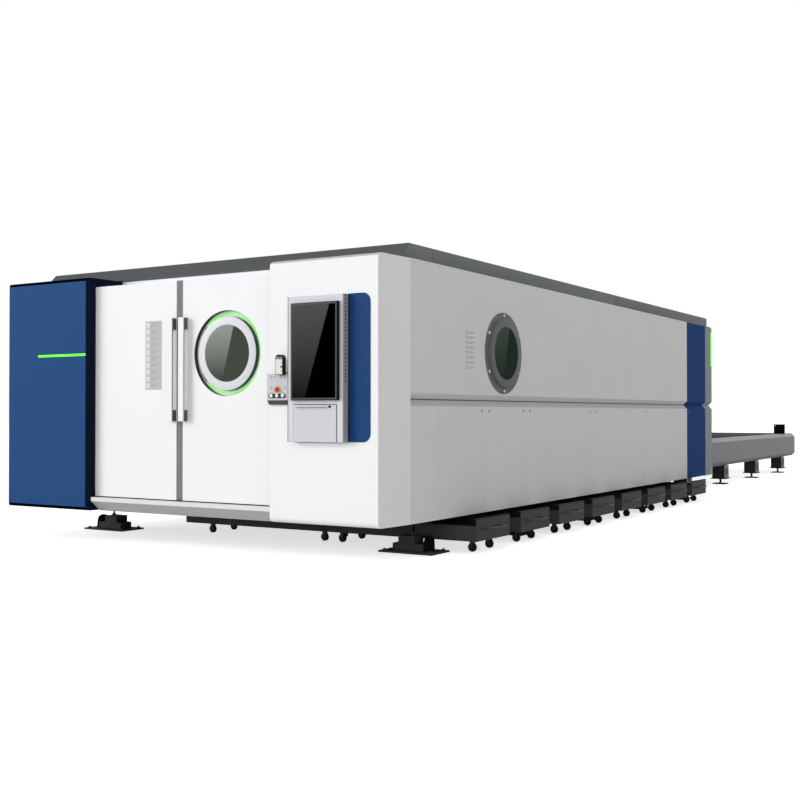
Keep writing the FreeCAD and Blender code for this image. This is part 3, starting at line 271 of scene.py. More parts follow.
@dataclass(frozen=True)
class Brushed(Finish):
    """Bare or ground metal with fine lines along one direction."""

    stretch: Place = (1.0, 60.0, 60.0)

    def texture(
        self, tree: bpy.types.NodeTree, coords: bpy.types.NodeSocket, shader: bpy.types.ShaderNode
    ) -> None:
        """Lines from a noise that is stretched along the brushing.

        Args:
            tree: Node tree of the material.
            coords: Object coordinates.
            shader: The surface shader.
        """
        mapping = tree.nodes.new("ShaderNodeMapping")
        mapping.inputs["Scale"].default_value = self.stretch
        tree.links.new(coords, mapping.inputs["Vector"])
        noise = tree.nodes.new("ShaderNodeTexNoise")
        noise.inputs["Scale"].default_value = 8
        noise.inputs["Detail"].default_value = 4
        tree.links.new(mapping.outputs["Vector"], noise.inputs["Vector"])
        spread = tree.nodes.new("ShaderNodeMapRange")
        spread.inputs["To Min"].default_value = self.roughness - 0.1
        spread.inputs["To Max"].default_value = self.roughness + 0.12
        tree.links.new(noise.outputs["Fac"], spread.inputs["Value"])
        tree.links.new(spread.outputs["Result"], shader.inputs["Roughness"])
        bump = tree.nodes.new("ShaderNodeBump")
        bump.inputs["Strength"].default_value = self.grain
        bump.inputs["Distance"].default_value = 0.0003
        tree.links.new(noise.outputs["Fac"], bump.inputs["Height"])
        tree.links.new(bump.outputs["Normal"], shader.inputs["Normal"])


@dataclass(frozen=True)
class PaintedReflection(Finish):
    """Dark glass with a painted reflection: lighter on one side of a slanting line, fading downwards there.
    """

    # colour of the painted reflection
    light: Colour = (0.5, 0.5, 0.5)
    middle: Place = (0.0, 0.0, 0.0)
    across: Place = (1.0, 0.0, -0.3)
    rise: Span = (0.0, 1.0)
    fade: float = 0.2

    def tone(self, tree: bpy.types.NodeTree, coords: bpy.types.NodeSocket) -> bpy.types.NodeSocket:
        """Dark tone on one side of the line, painted reflection that fades downwards on the other.

        Args:
            tree: Node tree of the material.
            coords: Object coordinates.

        Returns:
            The colour socket.
        """
        offset = tree.nodes.new("ShaderNodeVectorMath")
        offset.operation = "SUBTRACT"
        offset.inputs[1].default_value = self.middle
        tree.links.new(coords, offset.inputs[0])
        measure = tree.nodes.new("ShaderNodeVectorMath")
        measure.operation = "DOT_PRODUCT"
        measure.inputs[1].default_value = Vector(self.across).normalized()
        tree.links.new(offset.outputs["Vector"], measure.inputs[0])
        parts = tree.nodes.new("ShaderNodeSeparateXYZ")
        tree.links.new(coords, parts.inputs["Vector"])
        ramp = tree.nodes.new("ShaderNodeMapRange")
        ramp.inputs["From Min"].default_value = self.rise[0]
        ramp.inputs["From Max"].default_value = self.rise[1]
        ramp.inputs["To Min"].default_value = self.fade
        ramp.inputs["To Max"].default_value = 1.0
        tree.links.new(parts.outputs["Z"], ramp.inputs["Value"])
        side = tree.nodes.new("ShaderNodeMath")
        side.operation = "LESS_THAN"
        side.inputs[1].default_value = 0.0
        tree.links.new(measure.outputs["Value"], side.inputs[0])
        share = tree.nodes.new("ShaderNodeMath")
        share.operation = "MULTIPLY"
        tree.links.new(ramp.outputs["Result"], share.inputs[0])
        tree.links.new(side.outputs["Value"], share.inputs[1])
        mix = tree.nodes.new("ShaderNodeMix")
        mix.data_type = "RGBA"
        mix.inputs["A"].default_value = linear(self.colour)
        mix.inputs["B"].default_value = linear(self.light)
        tree.links.new(share.outputs["Value"], mix.inputs["Factor"])
        return mix.outputs["Result"]

    def texture(
        self, tree: bpy.types.NodeTree, coords: bpy.types.NodeSocket, shader: bpy.types.ShaderNode
    ) -> None:
        """Glass stays smooth."""


@dataclass(frozen=True)
class Lamp(Finish):
    """Lit diffuser."""

    strength: float = 1.0

    def texture(
        self, tree: bpy.types.NodeTree, coords: bpy.types.NodeSocket, shader: bpy.types.ShaderNode
    ) -> None:
        """Light of its own in place of a grain.

        Args:
            tree: Node tree of the material, not used here.
            coords: Object coordinates, not used here.
            shader: The surface shader.
        """
        shader.inputs["Emission Color"].default_value = linear(self.colour)
        shader.inputs["Emission Strength"].default_value = self.strength


FRONT_WHITE = Finish("front_white", (0.93, 0.93, 0.935), roughness=0.42)
PANEL_WHITE = Finish("panel_white", (0.832, 0.832, 0.835), roughness=0.5, grain=0.3)
TRACK_LAVENDER = Finish("track_lavender", (0.955, 0.955, 0.98), roughness=0.45)
SILL_WHITE = Finish("sill_white", (0.86, 0.86, 0.865), roughness=0.45)
# Painted shade: darker copy of the front white for the column's right side.
COLUMN_SIDE_SHADE = Finish("column_side", (0.89, 0.89, 0.893), roughness=0.5)
FLAP_LAVENDER = Finish("flap_lavender", (0.795, 0.80, 0.815), roughness=0.4)
CABINET_BLUE = Finish("cabinet_blue", (0.135, 0.29, 0.485), roughness=0.5, specular=0.03)
CABINET_NAVY = Finish("cabinet_navy", (0.045, 0.092, 0.160), roughness=0.5, specular=0.02)
REAR_BLUE = Finish("rear_blue", (0.20, 0.30, 0.49), roughness=0.5, specular=0.0)
TRIM_BLUE = Finish("trim_blue", (0.105, 0.255, 0.455), roughness=0.45, specular=0.06)
REAR_GREY = Finish("rear_grey", (0.55, 0.57, 0.575), roughness=0.5, specular=0.04)
ROOF_GREY = Finish("roof_grey", (0.445, 0.46, 0.46), roughness=0.55)
ROOF_NOSE = Finish("roof_nose", (0.33, 0.34, 0.34), roughness=0.6, specular=0.05)
# Painted shade on the column's top rounding and on the sill's lower rounding.
SILL_SHADE = Finish("sill_shade", (0.72, 0.725, 0.73), roughness=0.5)
SEAL_GREY = Finish("seal_grey", (0.49, 0.49, 0.495), roughness=0.6, grain=0.4)
PULL_GREY = Finish("pull_grey", (0.36, 0.36, 0.365), roughness=0.45)
# Painted shade in the door's light channel: its walls, the bezel's outer wall and the ring's unlit arc.
CHANNEL_SHADE = Finish("groove_grey", (0.28, 0.28, 0.29), roughness=0.5)
RING_LAVENDER = Finish("ring_lavender", (0.85, 0.855, 0.87), roughness=0.4)
RING_GREY = Finish("ring_grey", (0.385, 0.40, 0.40), roughness=0.45)
CONSOLE_LAVENDER = Finish("console_lavender", (0.83, 0.835, 0.85), roughness=0.4)
CONSOLE_LINE = Finish("console_line", (0.34, 0.35, 0.37), roughness=0.5)
# Painted shade on the lower bevel of the waist groove on both sides.
LEDGE_SHADE = Finish("ledge_shade", (0.735, 0.735, 0.735), roughness=0.5, specular=0.05)
# Painted shade on the blue cabinet's top and bottom chamfers.
CABINET_CHAMFER_SHADE = Finish("cabinet_top", (0.02, 0.035, 0.06), roughness=0.6, specular=0.0)
SCREEN_CASE = Finish("screen_case", (0.09, 0.09, 0.095), roughness=0.45, grain=0.3, specular=0.05)
SCREEN_BEZEL = Finish("screen_bezel", (0.27, 0.275, 0.28), roughness=0.4, grain=0.3)
STRIP_GREY = Finish("strip_grey", (0.62, 0.625, 0.635), roughness=0.5)
DARK_HOLE = Finish("dark_hole", (0.05, 0.05, 0.055), roughness=0.8)
BOX_GREY = Finish("box_grey", (0.77, 0.775, 0.79), roughness=0.45)
MARK_GREY = Finish("mark_grey", (0.50, 0.505, 0.515), roughness=0.5)
BOX_BASE = Finish("box_base", (0.29, 0.30, 0.31), roughness=0.5)
PLATE_BLACK = Finish("plate_black", (0.09, 0.09, 0.095), roughness=0.35)
BUTTON_WHITE = Finish("button_white", (0.93, 0.93, 0.91), roughness=0.3, coat=0.2)
COLLAR_YELLOW = Finish("collar_yellow", (0.90, 0.76, 0.10), roughness=0.35)
STOP_RED = Finish("stop_red", (0.80, 0.08, 0.07), roughness=0.3, coat=0.25)
HANDSET_DARK = Finish("handset_dark", (0.15, 0.16, 0.17), roughness=0.5, grain=0.4)
KEY_WHITE = Finish("key_white", (0.92, 0.92, 0.92), roughness=0.4)
KEY_TEAL = Finish("key_teal", (0.12, 0.48, 0.52), roughness=0.4)
KEY_ORANGE = Finish("key_orange", (0.92, 0.47, 0.13), roughness=0.4)
KEY_BLUE = Finish("key_blue", (0.13, 0.33, 0.62), roughness=0.4)
KEY_RED = Finish("key_red", (0.78, 0.14, 0.12), roughness=0.4)
KEY_YELLOW = Finish("key_yellow", (0.93, 0.85, 0.20), roughness=0.4)
KEY_BLACK = Finish("key_black", (0.12, 0.12, 0.13), roughness=0.5)
FIELD_GREY = Finish("field_grey", (0.72, 0.72, 0.73), roughness=0.5)
FIELD_PALE = Finish("field_pale", (0.84, 0.84, 0.85), roughness=0.5)
FIELD_LINE = Finish("field_line", (0.52, 0.52, 0.53), roughness=0.5)
LIGHT_GREEN = Lamp("light_green", (0.36, 0.95, 0.10), roughness=0.4, strength=0.9)
SCREW_STEEL = Brushed("screw_steel", (0.62, 0.63, 0.65), roughness=0.35, metallic=1.0)
SCREW_DARK = Finish("screw_dark", (0.25, 0.25, 0.26), roughness=0.4)
SCREW_PALE = Finish("screw_pale", (0.50, 0.53, 0.60), roughness=0.4)
SCREW_WHITE = Finish("screw_white", (0.94, 0.94, 0.94), roughness=0.3)
GUIDE_STEEL = Brushed(
    "guide_steel", (0.60, 0.61, 0.63), roughness=0.3, metallic=1.0, stretch=(60.0, 1.0, 60.0)
)
SLAT_STEEL = Finish(
    "slat_steel", (0.33, 0.33, 0.335), roughness=0.55, metallic=0.4, unevenness=0.2, patch=0.12
)
PALLET_GREY = Finish("pallet_grey", (0.34, 0.35, 0.355), roughness=0.55)
TABLE_GREY = Finish("table_grey", (0.515, 0.53, 0.525), roughness=0.5)
# Painted light: lighter copy of the table grey on the bevels that face up.
TABLE_BEVEL_LIGHT = Finish("table_bevel", (0.67, 0.68, 0.675), roughness=0.5)
BOX_BLACK = Finish("box_black", (0.045, 0.045, 0.05), roughness=0.5, specular=0.0)
LEG_BLACK = Finish("leg_black", (0.15, 0.15, 0.155), roughness=0.5)
LEG_GREY = Finish("leg_grey", (0.50, 0.51, 0.51), roughness=0.5)
FOOT_GREY = Finish("foot_grey", (0.245, 0.245, 0.25), roughness=0.6, specular=0.05)
FOOT_BLACK = Finish("foot_black", (0.09, 0.09, 0.095), roughness=0.6, specular=0.0)
CART_GREY = Finish("cart_grey", (0.23, 0.235, 0.24), roughness=0.5)
WHEEL_BLACK = Finish("wheel_black", (0.12, 0.12, 0.125), roughness=0.6)
BED_DARK = Finish("bed_dark", (0.20, 0.205, 0.21), roughness=0.6)
GANTRY_GREY = Finish("gantry_grey", (0.62, 0.63, 0.65), roughness=0.45)
CARRIAGE_DARK = Finish("carriage_dark", (0.25, 0.26, 0.28), roughness=0.45)
HEAD_METAL = Brushed(
    "head_metal", (0.72, 0.73, 0.75), roughness=0.3, metallic=1.0, stretch=(60.0, 60.0, 1.0)
)
NOZZLE_COPPER = Brushed("nozzle_copper", (0.72, 0.45, 0.30), roughness=0.3, metallic=1.0)
CHAIN_BLACK = Finish("chain_black", (0.13, 0.13, 0.14), roughness=0.55)
DOOR_GLASS = PaintedReflection(
    "door_glass",
    (0.255, 0.285, 0.255),
    roughness=0.1,
    specular=0.0,
    light=(0.565, 0.585, 0.56),
    middle=(0.515, back(0.086), 1.608),
    across=(1.0, 0.0, -0.27),
    rise=(1.42, 1.80),
    fade=0.05,
)
SIDE_GLASS = PaintedReflection(
    "side_glass",
    (0.17, 0.215, 0.17),
    roughness=0.1,
    specular=0.0,
    light=(0.28, 0.34, 0.29),
    middle=(2.03, back(1.98), 1.65),
    across=(0.0, 1.0, -0.27),
    rise=(1.45, 1.85),
    fade=0.1,
)
SCREEN_GLASS = PaintedReflection(
    "screen_glass",
    (0.004, 0.004, 0.005),
    roughness=0.1,
    specular=0.0,
    light=(0.30, 0.30, 0.30),
    middle=(1.53, back(-0.100), 1.60),
    across=(1.0, 0.0, -0.32),
    rise=(1.24, 1.90),
    fade=0.12,
)


# ------------------------------------------------------------------ mesh making


class Form:
    """Mesh under construction, in row frame metres, with one slot for each finish."""

    def __init__(self, name: str, *finishes: Finish) -> None:
        """Starts an empty mesh.

        Args:
            name: Name of the finished piece.
            finishes: Finishes in slot order.
        """
        self.name = name
        self.finishes = finishes
        self.mesh = bmesh.new()

    def box(self, x: Span, y: Span, z: Span, slot: int = 0) -> None:
        """Adds a box between two values of x, y and z."""
        made = bmesh.ops.create_cube(self.mesh, size=1.0)
        spans = (x, y, z)
        for vertex in made["verts"]:
            vertex.co = Vector([(s[0] + s[1]) / 2 + c * (s[1] - s[0]) for s, c in zip(spans, vertex.co)])
        for face in {face for vertex in made["verts"] for face in vertex.link_faces}:
            face.material_index = slot

    def plate(
        self,
        outline: Sequence[Point],
        facing: Facing,
        along: Span,
        slot: int = 0,
        holes: Sequence[Sequence[Point]] = (),
    ) -> None:
        """Adds a flat plate with any outline and any holes.

        Args:
            outline: Corners of its edge.
            facing: Way that it faces.
            along: Where its two faces lie along the facing.
            slot: Finish slot.
            holes: Corners of each hole.
        """
        faces = []
        rims: list[list[bmesh.types.BMEdge]] = [[], []]
        for loop in (outline, *holes):
            pair = [[self.mesh.verts.new(facing.place(u, v, level)) for u, v in loop] for level in along]
            count = len(loop)
            for level in (0, 1):
                rims[level] += [
                    self.mesh.edges.new((pair[level][i], pair[level][(i + 1) % count])) for i in range(count)
                ]
            for i in range(count):
                j = (i + 1) % count
                faces.append(self.mesh.faces.new((pair[0][i], pair[0][j], pair[1][j], pair[1][i])))
        for rim in rims:
            filled = bmesh.ops.triangle_fill(self.mesh, edges=rim, use_beauty=True)
            faces += [item for item in filled["geom"] if isinstance(item, bmesh.types.BMFace)]
        for face in faces:
            face.material_index = slot
        bmesh.ops.recalc_face_normals(self.mesh, faces=faces)

    def turned(
        self,
        profile: Sequence[Point],
        centre: Place,
        facing: Facing,
        slot: int = 0,
        sides: int = 64,
        arc: Span = (0.0, 360.0),
    ) -> None:
        """Adds a form turned about an axis.

        Args:
            profile: Closed outline as radius and distance along the facing.
            centre: Point on the axis from which distances count.
            facing: Way that the axis runs.
            slot: Finish slot.
            sides: Steps in a full turn.
            arc: Start and end of the turn in degrees.
        """
        full = arc[1] - arc[0] >= 359.9
        steps = sides if full else max(2, round(sides * (arc[1] - arc[0]) / 360))
        rings: list[list[bmesh.types.BMVert]] = []
        for i in range(steps if full else steps + 1):
            angle = math.radians(arc[0] + (arc[1] - arc[0]) * i / steps)
            ring = []
            for k, (radius, along) in enumerate(profile):
                if radius <= 1e-9 and i and full:
                    ring.append(rings[0][k])
                    continue
                offset = facing.place(radius * math.cos(angle), radius * math.sin(angle), along)
                ring.append(self.mesh.verts.new(Vector(centre) + offset))
            rings.append(ring)
        faces = []
        for i in range(len(rings) if full else len(rings) - 1):
            near, far = rings[i], rings[(i + 1) % len(rings)]
            for k in range(len(profile)):
                m = (k + 1) % len(profile)
                corners = list(dict.fromkeys((near[k], near[m], far[m], far[k])))
                if len(corners) > 2:
                    faces.append(self.mesh.faces.new(corners))
        if not full:
            faces.append(self.mesh.faces.new(rings[0]))
            faces.append(self.mesh.faces.new(list(reversed(rings[-1]))))
        for face in faces:
            face.material_index = slot
        bmesh.ops.recalc_face_normals(self.mesh, faces=faces)

    def rod(self, start: Place, end: Place, radius: float, slot: int = 0, sides: int = 12) -> None:
        """Adds a round bar from one point to another."""
        axis = Vector(end) - Vector(start)
        turn = axis.to_track_quat("Z", "Y").to_matrix().to_4x4()
        middle = Matrix.Translation((Vector(start) + Vector(end)) / 2)
        made = bmesh.ops.create_cone(
            self.mesh,
            cap_ends=True,
            segments=sides,
            radius1=radius,
            radius2=radius,
            depth=axis.length,
            matrix=middle @ turn,
        )
        for face in {face for vertex in made["verts"] for face in vertex.link_faces}:
            face.material_index = slot

    def bent_rod(self, points: Sequence[Place], radius: float, slot: int = 0, sides: int = 10) -> None:
        """Adds a round bar that passes through points with mitred bends.

        Args:
            points: Middle line of the bar.
            radius: Radius of the bar.
            slot: Finish slot.
            sides: Sides of its section.
        """
        line = [Vector(p) for p in points]
        rings = []
        reference = Vector((0, 0, 1))
        for i, point in enumerate(line):
            before = (point - line[i - 1]).normalized() if i else (line[1] - point).normalized()
            after = (line[i + 1] - point).normalized() if i + 1 < len(line) else before
            along = (before + after).normalized()
            across = along.cross(reference).normalized()
            widen = 1 / max(0.5, along.dot(before))
            ring = []
            for k in range(sides):
                angle = 2 * math.pi * k / sides
                offset = across * math.cos(angle) * widen + reference * math.sin(angle)
                ring.append(self.mesh.verts.new(point + offset * radius))
            rings.append(ring)
        faces = [self.mesh.faces.new(rings[0]), self.mesh.faces.new(rings[-1])]
        for near, far in zip(rings, rings[1:]):
            for k in range(sides):
                m = (k + 1) % sides
                faces.append(self.mesh.faces.new((near[k], near[m], far[m], far[k])))
        for face in faces:
            face.material_index = slot
        bmesh.ops.recalc_face_normals(self.mesh, faces=faces)

    def data(self) -> bpy.types.Mesh:
        """The finished mesh data.

        Returns:
            The mesh with its finishes.
        """
        mesh = bpy.data.meshes.new(self.name)
        bmesh.ops.recalc_face_normals(self.mesh, faces=self.mesh.faces)
        self.mesh.to_mesh(mesh)
        self.mesh.free()
        for finish in self.finishes:
            mesh.materials.append(finish.material())
        mesh.polygons.foreach_set("use_smooth", [True] * len(mesh.polygons))
        mesh.set_sharp_from_angle(angle=SMOOTH_ANGLE)
        return mesh

    def finish(self, body: str, replaces: Sequence[str] = (), edge: float = 0.0) -> bpy.types.Object:
        """Makes the piece and sets it on its body.

        Args:
            body: Name of the body that it rides on.
            replaces: CAD nodes that it stands for.
            edge: Width of softened edges, or 0 for none.

        Returns:
            The finished piece.
        """
        piece = bpy.data.objects.new(self.name, self.data())
        bpy.context.scene.collection.objects.link(piece)
        if edge:
            soften(piece, edge)
        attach(piece, body)
        if replaces:
            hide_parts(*replaces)
        LOG.info("%s made on %s", self.name, body)
        return piece


def soften(piece: bpy.types.Object, width: float) -> None:
    """Rounds every sharp edge of a piece by a small width.

    Args:
        piece: The piece.
        width: Width of the rounding.
    """
    bevel = piece.modifiers.new("soft_edges", "BEVEL")
    bevel.width = width
    bevel.segments = 2
    bevel.limit_method = "ANGLE"
    bevel.angle_limit = SMOOTH_ANGLE
    bevel.harden_normals = True


class Repeater:
    """Geometry-node tree that sets a small unit on every point of a list."""

    def __init__(self) -> None:
        """Builds the tree once."""
        self.tree = bpy.data.node_groups.new("set_on_points", "GeometryNodeTree")
        self.entry("Places", "NodeSocketGeometry")
        self.unit_socket = self.entry("Unit", "NodeSocketObject")
        self.size_socket = self.entry("Unit size", "NodeSocketFloat")
        self.finish_socket = self.entry("Finish", "NodeSocketMaterial")
        self.tree.interface.new_socket("Result", in_out="OUTPUT", socket_type="NodeSocketGeometry")
        nodes, links = self.tree.nodes, self.tree.links
        start = nodes.new("NodeGroupInput")
        end = nodes.new("NodeGroupOutput")
        unit = nodes.new("GeometryNodeObjectInfo")
        spread = nodes.new("GeometryNodeInstanceOnPoints")
        real = nodes.new("GeometryNodeRealizeInstances")
        coat = nodes.new("GeometryNodeSetMaterial")
        links.new(start.outputs["Unit"], unit.inputs["Object"])
        links.new(start.outputs["Places"], spread.inputs["Points"])
        links.new(unit.outputs["Geometry"], spread.inputs["Instance"])
        links.new(start.outputs["Unit size"], spread.inputs["Scale"])
        links.new(spread.outputs["Instances"], real.inputs["Geometry"])
        links.new(real.outputs["Geometry"], coat.inputs["Geometry"])
        links.new(start.outputs["Finish"], coat.inputs["Material"])
        links.new(coat.outputs["Geometry"], end.inputs["Result"])

    def entry(self, label: str, kind: str) -> str:
        """Adds a named input to the tree.

        Args:
            label: Name of the input.
            kind: Type of its socket.

        Returns:
            The identifier of its socket.
        """
        socket = self.tree.interface.new_socket(label, in_out="INPUT", socket_type=kind)
        return socket.identifier

    def set_out(
        self,
        unit: Form,
        places: Sequence[Place],
        finish: Finish,
        body: str,
        replaces: Sequence[str] = (),
    ) -> bpy.types.Object:
        """One plain mesh with the unit on every place.

        Args:
            unit: Form made round the origin, whose name the piece takes.
            places: Points that receive a unit.
            finish: Finish of every unit.
            body: Body that the piece rides on.
            replaces: CAD nodes that it stands for.

        Returns:
            The finished piece.
        """
        name = unit.name
        master = bpy.data.objects.new(name + "_unit", unit.data())
        points = bpy.data.meshes.new(name + "_places")
        points.from_pydata([Vector(p) for p in places], [], [])
        piece = bpy.data.objects.new(name, points)
        bpy.context.scene.collection.objects.link(piece)
        spread = piece.modifiers.new("set_out", "NODES")
        spread.node_group = self.tree
        spread[self.unit_socket] = master
        spread[self.size_socket] = 1.0
        spread[self.finish_socket] = finish.material()
        graph = bpy.context.evaluated_depsgraph_get()
        mesh = bpy.data.meshes.new_from_object(piece.evaluated_get(graph))
        piece.modifiers.clear()
        piece.data = mesh
        bpy.data.meshes.remove(points)
        bpy.data.objects.remove(master)
        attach(piece, body)
        if replaces:
            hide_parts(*replaces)
        LOG.info("%s set out %d times on %s", name, len(places), body)
        return piece


# ------------------------------------------------------------------ coats on the solids


@dataclass(frozen=True)
class Shade:
    """Finish of the faces that look one way, by at least a cosine."""

    way: Place
    least: float
    finish: Finish


@dataclass
class Coats:
    """Finish and edge softening of each CAD node that keeps its own shape."""

    frame: dict
    plain: dict[str, Finish] = field(
        default_factory=lambda: {
            "bed_frame": BED_DARK,
            "levelling_screws": FOOT_BLACK,
            "guide_rails": GUIDE_STEEL,
            "monitor_glass": SCREEN_GLASS,
            "status_lights": LIGHT_GREEN,
            "keyboard": KEY_BLACK,
            "side_window_glass": SIDE_GLASS,
            "flap_lock": DARK_HOLE,
        }
    )
    softened: dict[str, tuple[Finish, float]] = field(
        default_factory=lambda: {
            "right_upper_panels": (PANEL_WHITE, 0.003),
            "right_lower_panels": (PANEL_WHITE, 0.003),
            "left_side_panels": (PANEL_WHITE, 0.003),
            "rear_trims": (REAR_BLUE, 0.003),
            "rear_frame": (REAR_GREY, 0.005),
            "roof_panels": (ROOF_GREY, 0.004),
            "left_cabinet": (CABINET_BLUE, 0.003),
            "front_column": (FRONT_WHITE, 0.003),
            "door_header": (TRACK_LAVENDER, 0.002),
            "door_sill": (SILL_WHITE, 0.004),
            "left_door": (FRONT_WHITE, 0.002),
            "left_door_edge": (SEAL_GREY, 0.002),
            "right_door_edge": (SEAL_GREY, 0.002),
            "left_door_handle": (PULL_GREY, 0.002),
            "right_door_handle": (PULL_GREY, 0.002),
            "console_frame": (CONSOLE_LAVENDER, 0.0015),
            "keyboard_flap": (FLAP_LAVENDER, 0.0015),
            "monitor": (SCREEN_CASE, 0.002),
            "vent_strip": (STRIP_GREY, 0.001),
            "trim_panel": (TRIM_BLUE, 0.0015),
            "gantry_beam": (GANTRY_GREY, 0.004),
            "carriage": (CARRIAGE_DARK, 0.002),
            "upper_pallet": (PALLET_GREY, 0.003),
            "lower_pallet": (PALLET_GREY, 0.003),
            "table_frame": (TABLE_GREY, 0.0),
            "table_legs": (LEG_GREY, 0.003),
            "table_control_box": (BOX_BLACK, 0.004),
        }
    )
    shaded: dict[str, tuple[Shade, ...]] = field(
        default_factory=lambda: {
            "left_cabinet": (
                Shade((1.0, 0.0, 0.0), 0.6, CABINET_NAVY),
                # painted shade on the top and bottom chamfers
                Shade((0.0, -0.707, 0.707), 0.9, CABINET_CHAMFER_SHADE),
                Shade((0.0, -0.707, -0.707), 0.9, CABINET_CHAMFER_SHADE),
            ),
            # painted shade on the column's top rounding and on its right side
            "front_column": (
                Shade((0.0, -0.45, 0.89), 0.88, SILL_SHADE),
                Shade((1.0, 0.0, 0.0), 0.95, COLUMN_SIDE_SHADE),
            ),
            # painted shade on the sill's lower rounding
            "door_sill": (Shade((0.0, -0.65, -0.75), 0.9, SILL_SHADE),),
            "roof_panels": (Shade((0.0, -0.75, 0.65), 0.9, ROOF_NOSE),),
            # painted shade on the lower bevel of the waist groove
            "right_lower_panels": (Shade((0.73, 0.0, 0.68), 0.95, LEDGE_SHADE),),
            "left_side_panels": (Shade((-0.73, 0.0, 0.68), 0.95, LEDGE_SHADE),),
            "table_frame": (
                # painted light on the bevels that face up
                Shade((0.707, 0.0, 0.707), 0.9, TABLE_BEVEL_LIGHT),
                Shade((-0.707, 0.0, 0.707), 0.9, TABLE_BEVEL_LIGHT),
            ),
        }
    )
    tapered: str = "front_column"
    taper: float = 0.030
    taper_reach: float = 0.407
    taper_side: float = 2.0

    def body_of(self, node: str) -> str:
        """Name of the body that a CAD node belongs to."""
        bodies = self.frame["record"]["behaviour"]["bodies"]
        return next(name for name, nodes in bodies.items() if node in nodes)

    def build(self) -> None:
        """Coats every node, and softens the edges of a merged copy where the list says so."""
        for node, finish in self.plain.items():
            mesh = self.frame["nodes"][node].data
            mesh.materials.clear()
            mesh.materials.append(finish.material())
        for node, (finish, edge) in self.softened.items():
            self.soft_copy(node, finish, edge)

    def soft_copy(self, node: str, finish: Finish, edge: float) -> None:
        """Merged copy of a CAD node with rounded edges, which stands for it.

        Args:
            node: CAD node.
            finish: Finish of the copy.
            edge: Width of its rounded edges, or 0 for none.
        """
        mesh = self.frame["nodes"][node].data.copy()
        mesh.name = node + "_shell"
        work = bmesh.new()
        work.from_mesh(mesh)
        bmesh.ops.remove_doubles(work, verts=work.verts, dist=WELD)
        bmesh.ops.dissolve_limit(work, angle_limit=math.radians(0.5), verts=work.verts, edges=work.edges)
        if node == self.tapered:
            self.draw_in(work)
        work.to_mesh(mesh)
        work.free()
        mesh.materials.clear()
        mesh.materials.append(finish.material())
        slots = [0] * len(mesh.polygons)
        for slot, shade in enumerate(self.shaded.get(node, ()), start=1):
            mesh.materials.append(shade.finish.material())
            for face in mesh.polygons:
                if face.normal.dot(Vector(shade.way)) > shade.least:
                    slots[face.index] = slot
        mesh.polygons.foreach_set("material_index", slots)
        mesh.polygons.foreach_set("use_smooth", [True] * len(mesh.polygons))
        mesh.set_sharp_from_angle(angle=SMOOTH_ANGLE)
        piece = bpy.data.objects.new(node + "_shell", mesh)
        bpy.context.scene.collection.objects.link(piece)
        if edge:
            soften(piece, edge)
        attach(piece, self.body_of(node))
        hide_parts(node)
        LOG.info("%s softened by %.1f mm", node, edge * 1000)

    def draw_in(self, work: bmesh.types.BMesh) -> None:
        """Draws the column's right side in towards its front plane.

        Args:
            work: The merged mesh.
        """
        for vertex in work.verts:
            depth = vertex.co.y - back(0.0)
            if vertex.co.x > self.taper_side and depth < self.taper_reach:
                vertex.co.x -= self.taper * (1 - depth / self.taper_reach)


# ------------------------------------------------------------------ sub-assemblies


def pan_head(
    name: str, radius: float, height: float, facing: Facing, sign: float = 1.0, sides: int = 12
) -> Form:
    """Screw head with a domed top and a hexagon recess, made round the origin.

    Args:
        name: Name of the form.
        radius: Radius of the head.
        height: Height of the head.
        facing: Axis of the screw.
        sign: 1 or -1 for the way that the head stands along the axis.
        sides: Sides of the head.

    Returns:
        The form.
    """
    form = Form(name)
    profile = [
        (0.0, 0.0),
        (radius, 0.0),
        (radius, height * 0.5),
        (radius * 0.8, height),
        (radius * 0.45, height),
        (radius * 0.4, height * 0.45),
        (0.0, height * 0.45),
    ]
    form.turned([(r, sign * h) for r, h in profile], (0, 0, 0), facing, sides=sides)
    return form


def hex_nut(name: str, bore: float, radius: float, height: float = 0.016) -> Form:
    """Hexagon nut that stands on the origin.

    Args:
        name: Name of the form.
        bore: Radius of its hole.
        radius: Distance from the middle to a corner.
        height: Height of the nut.

    Returns:
        The form.
    """
    form = Form(name)
    profile = [(bore, 0.0), (radius, 0.0), (radius, height), (bore, height)]
    form.turned(profile, (0, 0, 0), Facing.UP, sides=6)
    return form


def pane_profile(radius: float, face: float, seat: float, chamfer: float = 0.001) -> list[Point]:
    """Profile of a round glass whose rim is chamfered on its face side.

    Args:
        radius: Radius of the glass.
        face: Where its face lies along the facing.
        seat: Where its back lies along the facing.
        chamfer: Width of the chamfer.

    Returns:
        The profile.
    """
    rim = face + math.copysign(chamfer, seat - face)
    return [(0.0, face), (radius - chamfer, face), (radius, rim), (radius, seat), (0.0, seat)]


